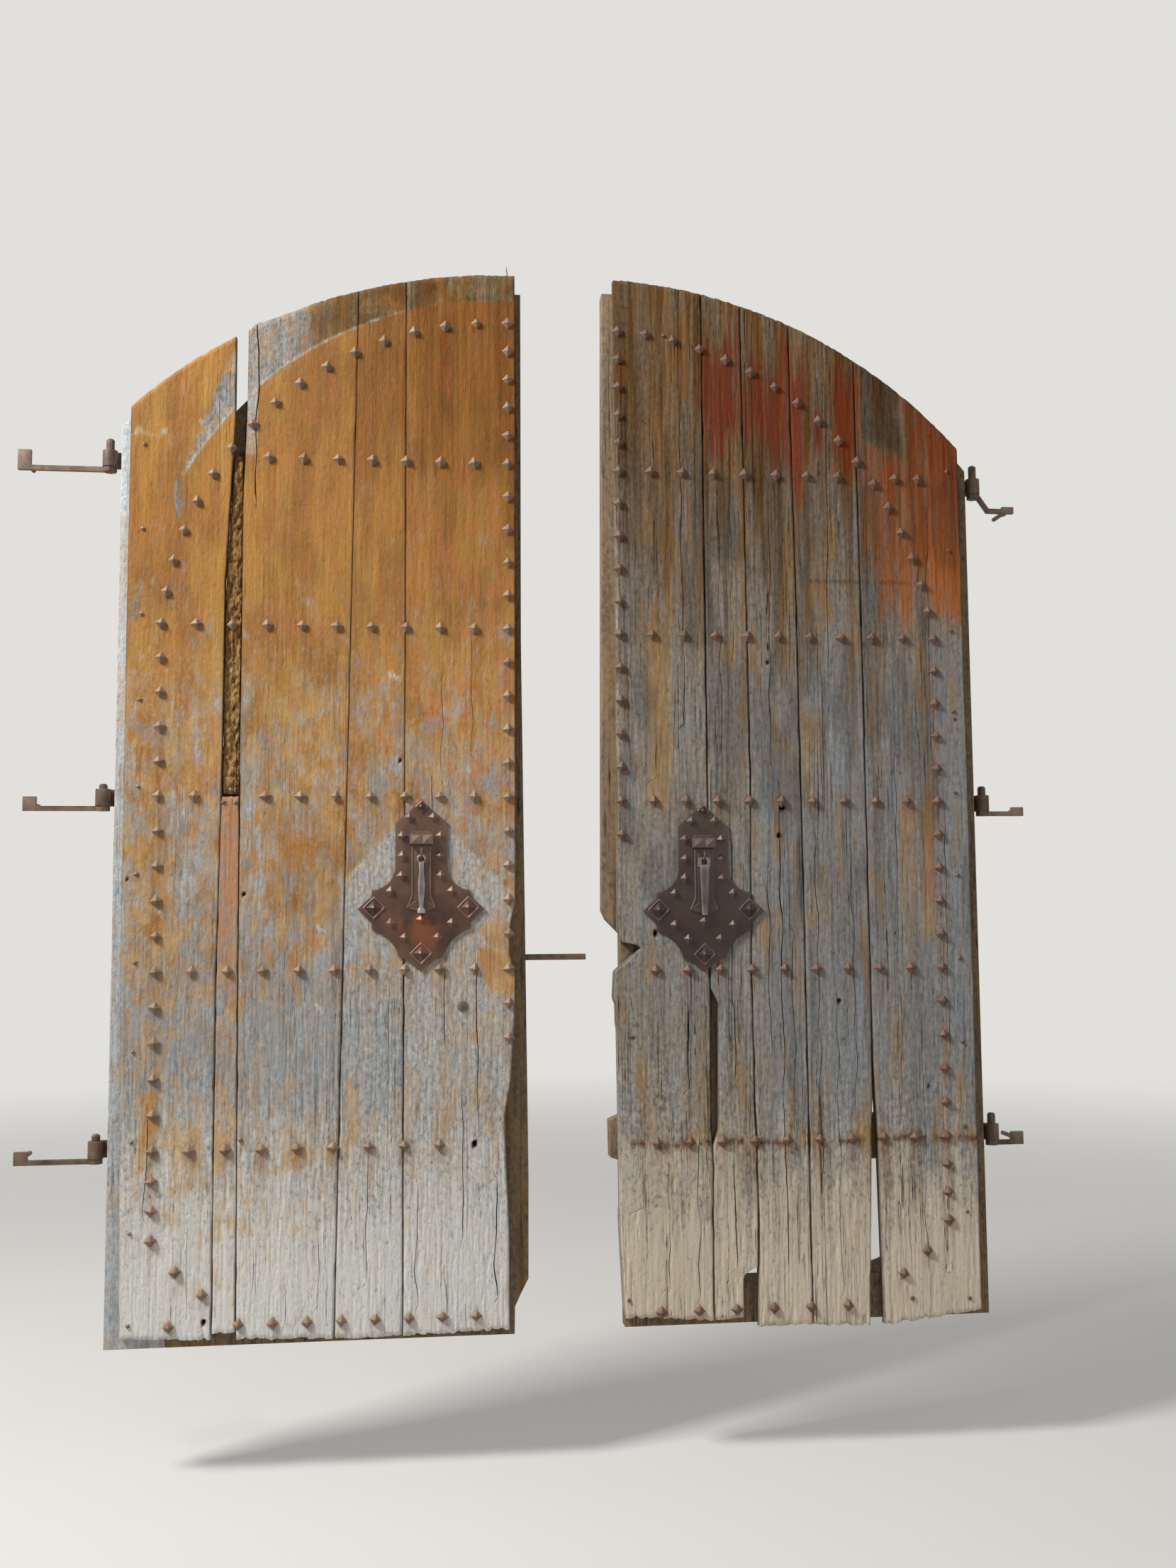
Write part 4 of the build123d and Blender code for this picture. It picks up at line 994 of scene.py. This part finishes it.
def studShape(style):
    half, height, skirt = style["size"] / 2, style["height"], style["skirt"]
    bm = bmesh.new()
    corners = ((0, -1), (1, 0), (0, 1), (-1, 0))      # set on edge, within the CAD head's square
    rings = [[bm.verts.new((a * half * part, y, b * half * part)) for a, b in corners]
             for part, y in ((1, skirt), (1, -0.1 * height), (0.54, -0.58 * height))]
    skin(bm, rings, peak=bm.verts.new((0, -height, 0)))
    bmesh.ops.recalc_face_normals(bm, faces=bm.faces)
    sharp = [e for e in bm.edges
             if e.calc_face_angle(0) > radians(20) and max(v.co.y for v in e.verts) < skirt * 0.5]
    bmesh.ops.bevel(bm, geom=sharp, offset=half * 0.075, segments=1, profile=0.5, affect="EDGES",
                    clamp_overlap=True)
    return plainMesh(bm, "studShape")


# Sets a stud on every point, each turned, leaned and sized a little differently and slightly uneven
def makeStudTree():
    tree = bpy.data.node_groups.new("studRows", "GeometryNodeTree")
    kinds = {"Geometry": "Geometry", "Stud": "Object", "Turn": "Float", "Lean": "Float", "Spread": "Float",
             "Unevenness": "Float", "Seed": "Int", "Finish": "Material"}
    for label, kind in kinds.items():
        tree.interface.new_socket(label, in_out="INPUT", socket_type="NodeSocket" + kind)
    tree.interface.new_socket("Geometry", in_out="OUTPUT", socket_type="NodeSocketGeometry")
    given, made = tree.nodes.new("NodeGroupInput").outputs, tree.nodes.new("NodeGroupOutput")
    w = Wiring(tree)
    turn, lean = w.times(given["Turn"], pi / 180), w.times(given["Lean"], pi / 180)
    most = w.joined(lean, turn, lean)
    spin = w.node("FunctionNodeRandomValue", {
        "Min": w.vector("MULTIPLY", most, (-1, -1, -1)), "Max": most, "Seed": given["Seed"]},
        data_type="FLOAT_VECTOR")
    small, large = w.minus(1.0, given["Spread"]), w.plus(1.0, given["Spread"])
    size = w.node("FunctionNodeRandomValue", {
        "Min": w.joined(small, small, small), "Max": w.joined(large, 1.0, large),
        "Seed": w.plus(given["Seed"], 7.0)}, data_type="FLOAT_VECTOR")
    stud = w.node("GeometryNodeObjectInfo", {"Object": given["Stud"]}, transform_space="ORIGINAL")
    studs = w.node("GeometryNodeInstanceOnPoints", {
        "Points": given["Geometry"], "Instance": stud.outputs["Geometry"],
        "Rotation": spin.outputs["Value"], "Scale": size.outputs["Value"]})
    real = w.node("GeometryNodeRealizeInstances", {"Geometry": studs.outputs["Instances"]})
    position = w.node("GeometryNodeInputPosition").outputs[0]
    bumps = w.node("ShaderNodeTexNoise", {"Vector": position, "Scale": 90.0, "Detail": 1.0})
    centred = w.vector("SUBTRACT", bumps.outputs["Color"], (0.5, 0.5, 0.5))
    offset = w.node("ShaderNodeVectorMath", {0: centred, "Scale": given["Unevenness"]}, operation="SCALE")
    uneven = w.node("GeometryNodeSetPosition", {"Geometry": real.outputs[0], "Offset": offset.outputs[0]})
    coat = w.node("GeometryNodeSetMaterial", {"Geometry": uneven.outputs[0], "Material": given["Finish"]})
    w.fill(made, {"Geometry": coat.outputs[0]})
    return tree


def nodeInputs(modifier, values):
    for item in modifier.node_group.interface.items_tree:
        if item.item_type == "SOCKET" and item.in_out == "INPUT" and item.name in values:
            modifier[item.identifier] = values[item.name]


studRows = makeStudTree()


# Heads in place of all of a node's studs or nails but the long one
def fastenings(nodeName, style, finish):
    points = [((low.x + high.x) / 2, low.y + style["headHeight"], (low.z + high.z) / 2)
              for low, high in solidBoxes(nodeName) if high.z - low.z < longNail]
    source = bpy.data.meshes.new(nodeName + "Points")
    source.from_pydata(points, [], [])
    holder = bpy.data.objects.new(nodeName + "Holder", source)
    shape = bpy.data.objects.new(nodeName + "Shape", studShape(style))
    for o in (holder, shape):
        bpy.context.scene.collection.objects.link(o)
    modifier = holder.modifiers.new("rows", "NODES")
    modifier.node_group = studRows
    nodeInputs(modifier, {
        "Stud": shape, "Turn": style["turn"], "Lean": style["lean"], "Spread": style["spread"],
        "Unevenness": style["size"] * 0.05, "Seed": style["seed"], "Finish": finish})
    bpy.context.view_layer.update()
    graph = bpy.context.evaluated_depsgraph_get()
    mesh = bpy.data.meshes.new_from_object(holder.evaluated_get(graph), depsgraph=graph)
    holder.modifiers.clear()
    bpy.data.objects.remove(holder)
    bpy.data.objects.remove(shape)
    mesh.polygons.foreach_set("use_smooth", [False] * len(mesh.polygons))
    newPiece(nodeName + "_heads", mesh, nodes[nodeName]["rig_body"], finish, [nodeName])


for leafName in leaves:
    studFinish = finishes["stud" if leafName == "left" else "darkStud"]
    fastenings(leafName + "_studs", studStyle, studFinish)
    fastenings(leafName + "_small_nails", nailStyle, studFinish)
    fastenings(leafName + "_plate_studs", plateStudStyle, finishes[leafName + "Knocker"])
print("studs made")


# Domed head of a large nail low in the left leaf. Its profile is given as radius and rise.
roundNail = {"u": 146, "z": 852, "sides": 20, "profile": (
    (0.0142, -0.004), (0.0146, 0.0008), (0.0134, 0.0026), (0.0092, 0.0041), (0.004, 0.0048))}


def makeRoundNail():
    bm = bmesh.new()
    x, y, z = toRow("left", roundNail["u"], plankFace, roundNail["z"])
    angles = [2 * pi * k / roundNail["sides"] for k in range(roundNail["sides"])]
    skin(bm, [[bm.verts.new((x + radius * cos(a), y - rise, z + radius * sin(a))) for a in angles]
              for radius, rise in roundNail["profile"]])
    mesh = finishBmesh(bm, "leftRoundNail")
    newPiece(mesh.name, mesh, "left_leaf", finishes["roundNail"])


# A long, bent nail that stands up out of the left leaf's top edge
def makeLongNail():
    bm = bmesh.new()
    low, high = [box for box in solidBoxes("left_small_nails") if box[1].z - box[0].z > longNail][0]
    middle, length = (low + high) / 2, high.z - low.z
    corners = ((-1, -1), (1, -1), (1, 1), (-1, 1))
    thickness, bending = 0.0021, 0.0016
    rings = []
    for part in (0.0, 0.35, 0.6, 0.8, 0.93, 1.0):
        half = thickness * (1 - 0.35 * part) * (0.55 if part == 1.0 else 1)
        bend = bending * sin(part * 5)
        rings.append([bm.verts.new((middle.x + a * half + bend, middle.y + b * half, low.z + length * part))
                      for a, b in corners])
    skin(bm, rings)
    mesh = finishBmesh(bm, "leftLongNail")
    newPiece(mesh.name, mesh, "left_leaf", finishes["stud"])


makeRoundNail()
makeLongNail()


# ---- knockers, drawn in millimetres from the middle of the plate's cross

knocker = {"height": 1110, "plate": 5, "rim": 1.3, "lozenge": 31, "lozengeHeight": 9,
           "finial": 17, "finialHeight": 6.5, "guide": 4,
           "ringRadius": 13, "ringWire": 2.7, "ringHeight": 148, "hangHeight": 138.7, "eye": 7}
plateFace = plankFace - knocker["plate"]
guideFace = plateFace - knocker["guide"]
ringY = guideFace - 5


# Points on the circle's arc from a through b to c
def arcThrough(a, b, c, steps):
    ax, ay, bx, by, cx, cy = *a, *b, *c
    d = 2 * (ax * (by - cy) + bx * (cy - ay) + cx * (ay - by))
    aa, bb, cc = ax ** 2 + ay ** 2, bx ** 2 + by ** 2, cx ** 2 + cy ** 2
    x = (aa * (by - cy) + bb * (cy - ay) + cc * (ay - by)) / d
    y = (aa * (cx - bx) + bb * (ax - cx) + cc * (bx - ax)) / d
    radius = sqrt((ax - x) ** 2 + (ay - y) ** 2)
    start, end = atan2(ay - y, ax - x), atan2(cy - y, cx - x)
    if end - start > pi:
        end -= 2 * pi
    if start - end > pi:
        end += 2 * pi
    angles = [start + (end - start) * i / steps for i in range(steps + 1)]
    return [(x + radius * cos(a), y + radius * sin(a)) for a in angles]


# A cross with concave shoulders: the right half from the top down, then mirrored
def plateOutline():
    half = [(0, 293), (18, 274), (31, 262), (69, 230)]
    half += arcThrough((69, 105), (88, 68), (131, 49), 8)
    half += [(131, 33), (168, 0), (131, -37)]
    half += arcThrough((131, -54), (86, -80), (59, -128), 8)
    half += [(38, -134), (0, -165)]
    return half + [(-x, z) for x, z in reversed(half[1:-1])]


# An upright outline with depth, its front edges bevelled
def prism(bm, outline, front, back, bevel, segments=2):
    verts = [bm.verts.new((x, front, z)) for x, z in outline]
    made = bmesh.ops.extrude_face_region(bm, geom=[bm.faces.new(verts)])
    for v in made["geom"]:
        if isinstance(v, bmesh.types.BMVert):
            v.co.y = back
    rim = [e for e in bm.edges if all(v in verts for v in e.verts)]
    bmesh.ops.bevel(bm, geom=rim, offset=bevel, segments=segments, profile=0.5, affect="EDGES",
                    clamp_overlap=True)


def block(bm, low, high, fromX, toX, front, back, bevel, segments=2):
    prism(bm, [(fromX, low), (toX, low), (toX, high), (fromX, high)], front, back, bevel, segments)


# A raised lozenge. Each ring has a size, the rise of its corners and the rise between them.
def lozenge(bm, x, z, size, height, base):
    rings = []
    for scale, corner, side in ((1.0, -1.0, -1.0), (0.98, 2.2, 2.2), (0.86, 3.4, 3.4), (0.76, 2.6, 1.2),
                                (0.4, height * 0.62, height * 0.30)):
        ring = []
        for i in range(8):
            angle = i * pi / 4
            reach, rise = (size * scale, corner) if i % 2 == 0 else (size * scale * sqrt(0.5), side)
            ring.append(bm.verts.new((x + reach * cos(angle), base - rise, z + reach * sin(angle))))
        rings.append(ring)
    skin(bm, rings, peak=bm.verts.new((x, base - height, z)))


def bar(bm, a, b, width, depth, base):
    start, end = Vector(a), Vector(b)
    along = (end - start).normalized()
    side = Vector((-along.y, along.x)) * width / 2
    corners = [start + side, start - side, end - side, end + side]
    prism(bm, corners, base - depth, base + 0.5, min(width, depth) * 0.3, 1)


# A round wire bent about the x or the y axis, from one angle to another in degrees
def hoop(bm, centre, radius, wire, axis, start=0, end=360, steps=28):
    closed = end - start == 360
    x, y, z = centre
    rings = []
    for i in range(steps + (0 if closed else 1)):
        a = radians(start + (end - start) * i / steps)
        ring = []
        for k in range(8):
            b = 2 * pi * (k + 0.5) / 8
            reach, off = radius + wire * cos(b), wire * sin(b)
            about = (off, reach * sin(a)) if axis == "x" else (reach * sin(a), off)
            ring.append(bm.verts.new((x + about[0], y + about[1], z + reach * cos(a))))
        rings.append(ring)
    skin(bm, rings, meet=closed)


# Each section has its height, half width, rise of its middle and of its edge from the face, and back
def loft(bm, face, sections):
    rings = []
    for z, half, middle, edge, back in sections:
        between = face + middle + (edge - middle) * 0.3
        points = [(0, face + middle), (half * 0.55, between), (half, face + edge), (half * 0.9, back),
                  (-half * 0.9, back), (-half, face + edge), (-half * 0.55, between)]
        rings.append([bm.verts.new((x, y, z)) for x, y in points])
    skin(bm, rings)


def fillPlate(bm):
    prism(bm, plateOutline(), plateFace, plankFace, knocker["rim"])
    for x, z in ((-125, 3), (125, 3), (0, -118)):
        lozenge(bm, x, z, knocker["lozenge"], knocker["lozengeHeight"], plateFace)
    lozenge(bm, 0, 272, knocker["finial"], knocker["finialHeight"], plateFace)


def fillGuide(bm):
    foot = [(-26, 170), (26, 170), (26, 34), (40, 2), (0, -8), (-40, 2), (-26, 34)]
    prism(bm, foot[::-1], guideFace, plateFace, 0.8)
    for side in (-1, 1):
        bar(bm, (side * 24, 168), (side * 24, 34), 2.6, 1.8, guideFace)
        bar(bm, (side * 24, 34), (side * 37, 4), 2.6, 1.8, guideFace)
        bar(bm, (side * 12, 20), (side * 37, 4), 1.8, 1.2, guideFace)
    for start, end, steps in ((202, 338, 18), (158, 202, 8)):
        hoop(bm, (0, ringY, knocker["ringHeight"]), knocker["ringRadius"], knocker["ringWire"], "x",
             start, end, steps)


def fillBracket(bm):
    block(bm, 171, 198, -31, 31, plateFace - 18, plateFace, 1.6)
    prism(bm, [(-29, 198), (29, 198), (24, 206), (-24, 206)], plateFace - 6, plateFace, 1.2)
    for x in (-15.5, 15.5):      # two blunt pyramids
        corners = ((-12, -11), (12, -11), (12, 11), (-12, 11))
        rim = [bm.verts.new((x + a, plateFace - 17.8, 184.5 + b)) for a, b in corners]
        skin(bm, [rim], peak=bm.verts.new((x, plateFace - 24, 184.5)))


def fillLeftHammer(bm, front, back, touching, holeZ):
    hoop(bm, (0, ringY, holeZ), knocker["eye"] + 3, 2.9, "y")
    loft(bm, front, [
        (holeZ - 8, 5.5, 0, 1, back), (holeZ - 14, 6.5, -2, 0, back), (98, 6.0, -2.6, 0, back),
        (84, 7.6, -3, 0, back), (66, 9.0, -3, 0, back), (40, 8.2, -3, 0, back), (18, 6.2, -3, 0, back),
        (4, 5.0, -3, 0, back), (-1, 9.0, -4.5, -1, back), (-7, 10.8, -5, -1, touching),
        (-11.5, 9.5, -4.5, -1, touching)])


def fillRightHammer(bm, front, back, touching, holeZ):
    hole, half, overlap = knocker["eye"], 17, 0.5
    block(bm, 119, holeZ - hole, -half, half, front, back, 0.7, 1)
    block(bm, holeZ + hole, holeZ + hole + 6, -half, half, front, back, 0.7, 1)
    for fromX, toX in ((-half, -hole), (hole, half)):
        block(bm, holeZ - hole - overlap, holeZ + hole + overlap, fromX, toX, front, back, 0.7, 1)
    loft(bm, front, [
        (121, 12.5, -2.6, 0, back), (112, 12.2, -3, 0, back), (60, 10.4, -3, -0.4, back),
        (6, 8.4, -3.4, -0.6, back), (-6, 8.0, -4.6, -1, touching), (-11.5, 7.0, -4, -1, touching)])


def fillHammer(bm, leafName):
    fill = fillLeftHammer if leafName == "left" else fillRightHammer
    fill(bm, ringY - 3, ringY + 3, guideFace - 0.4, knocker["hangHeight"] - knocker["eye"])


# Each part's name, its node, the angle from which its edges are sharp, and what fills it
def makeKnocker(leafName):
    for name, node, sharp, fill in (
            ("Plate", "_knocker_plate", 32, fillPlate), ("Guide", "_knocker_guide", 40, fillGuide),
            ("Bracket", "_knocker_bracket", 20, fillBracket),
            ("Hammer", "_hammer", 38, lambda bm: fillHammer(bm, leafName))):
        bm = bmesh.new()
        fill(bm)
        for v in bm.verts:
            v.co = toRow(leafName, leaves[leafName]["knockerU"] + v.co.x, v.co.y, knocker["height"] + v.co.z)
        mesh = finishBmesh(bm, leafName + name, sharp)
        finish = finishes[leafName + ("Hammer" if name == "Hammer" else "Knocker")]
        nodeName = leafName + node
        newPiece(mesh.name, mesh, nodes[nodeName]["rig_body"], finish, [nodeName])


for leafName in leaves:
    makeKnocker(leafName)
print("knockers made")


# ---- floor, light and camera, in metres

floorMiddle = (1.4, 0, -0.82)
background = paint(226, 224, 220)


def makeStage():
    bm = bmesh.new()
    bmesh.ops.create_grid(bm, x_segments=1, y_segments=1, size=60)
    bmesh.ops.translate(bm, vec=floorMiddle, verts=bm.verts)
    mesh = plainMesh(bm, "floor")
    floor = bpy.data.objects.new("floor", mesh)
    bpy.context.scene.collection.objects.link(floor)
    material, shader, w = newMaterial("paleFloor")
    tone = w.mix(w.noise(0.0, (1.2, 1.2, 1.2), 2.0, 0.5), paint(180, 178, 175), paint(186, 184, 181))
    far = w.curve(w.vector("DISTANCE", w.place, floorMiddle), 3.0, 11.0)
    seen = w.node("ShaderNodeLightPath").outputs
    glow = w.larger(seen["Is Camera Ray"], seen["Is Glossy Ray"])
    w.fill(shader, {"Base Color": w.mix(far, tone, (0, 0, 0, 1)), "Roughness": 1.0, "Specular IOR Level": 0.0,
                    "Emission Color": background, "Emission Strength": w.times(glow, w.line(far, 0.3, 1.0))})
    mesh.materials.append(material)


def addLamp(name, place, aim, size, energy, colour):
    data = bpy.data.lights.new(name, "AREA")
    data.shape, data.size, data.energy, data.color = "SQUARE", size, energy, colour
    lamp = bpy.data.objects.new(name, data)
    lamp.location = place
    lamp.rotation_euler = (Vector(aim) - Vector(place)).to_track_quat("-Z", "Y").to_euler()
    bpy.context.scene.collection.objects.link(lamp)


# The world lights the door softly. Seen directly or mirrored, it is the plain background.
def makeLight():
    world = bpy.data.worlds.new("studio")
    bpy.context.scene.world = world
    world.use_nodes = True
    world.node_tree.nodes.clear()
    w = Wiring(world.node_tree)
    seen = w.node("ShaderNodeLightPath").outputs
    shown = w.larger(w.larger(seen["Is Camera Ray"], seen["Is Glossy Ray"]), seen["Is Transmission Ray"])
    lit = w.node("ShaderNodeBackground", {"Color": (0.97, 0.985, 1.0, 1), "Strength": 0.28})
    pale = w.node("ShaderNodeBackground", {"Color": background, "Strength": 1.0})
    mix = w.node("ShaderNodeMixShader", {0: shown, 1: lit.outputs[0], 2: pale.outputs[0]})
    w.node("ShaderNodeOutputWorld", {"Surface": mix.outputs[0]})
    addLamp("skyLamp", (-3.0, -2.1, 5.2), (1.2, 0, 0.8), 1.3, 590, (1, 0.985, 0.96))
    addLamp("fillLamp", (4.6, -3.8, 1.6), (1.4, 0, 1.0), 2.6, 25, (1, 0.99, 0.98))


# The photo's camera: angles in degrees, focal length and picture width in the photo's pixels
view = {"yaw": 7.0, "pitch": 5.09, "roll": -0.4, "focal": 2150, "width": 1659,
        "place": (0.975, -4.205, 0.606)}


def makeCamera():
    yaw, pitch, roll = [radians(view[key]) for key in ("yaw", "pitch", "roll")]
    data = bpy.data.cameras.new("viewCamera")
    data.sensor_fit, data.sensor_width = "HORIZONTAL", 36
    data.lens = view["focal"] / view["width"] * data.sensor_width
    camera = bpy.data.objects.new("viewCamera", data)
    forward = Vector((sin(yaw) * cos(pitch), cos(yaw) * cos(pitch), sin(pitch)))
    right = Vector((cos(yaw), -sin(yaw), 0))
    up = right.cross(forward)
    turnedRight = cos(roll) * right + sin(roll) * up
    turnedUp = -sin(roll) * right + cos(roll) * up
    matrix = Matrix((turnedRight, turnedUp, -forward)).transposed().to_4x4()
    matrix.translation = Vector(view["place"])
    camera.matrix_world = matrix
    bpy.context.scene.collection.objects.link(camera)
    bpy.context.scene.camera = camera


makeStage()
makeLight()
makeCamera()
bpy.context.scene.view_settings.view_transform = "Standard"
print("scene ready")
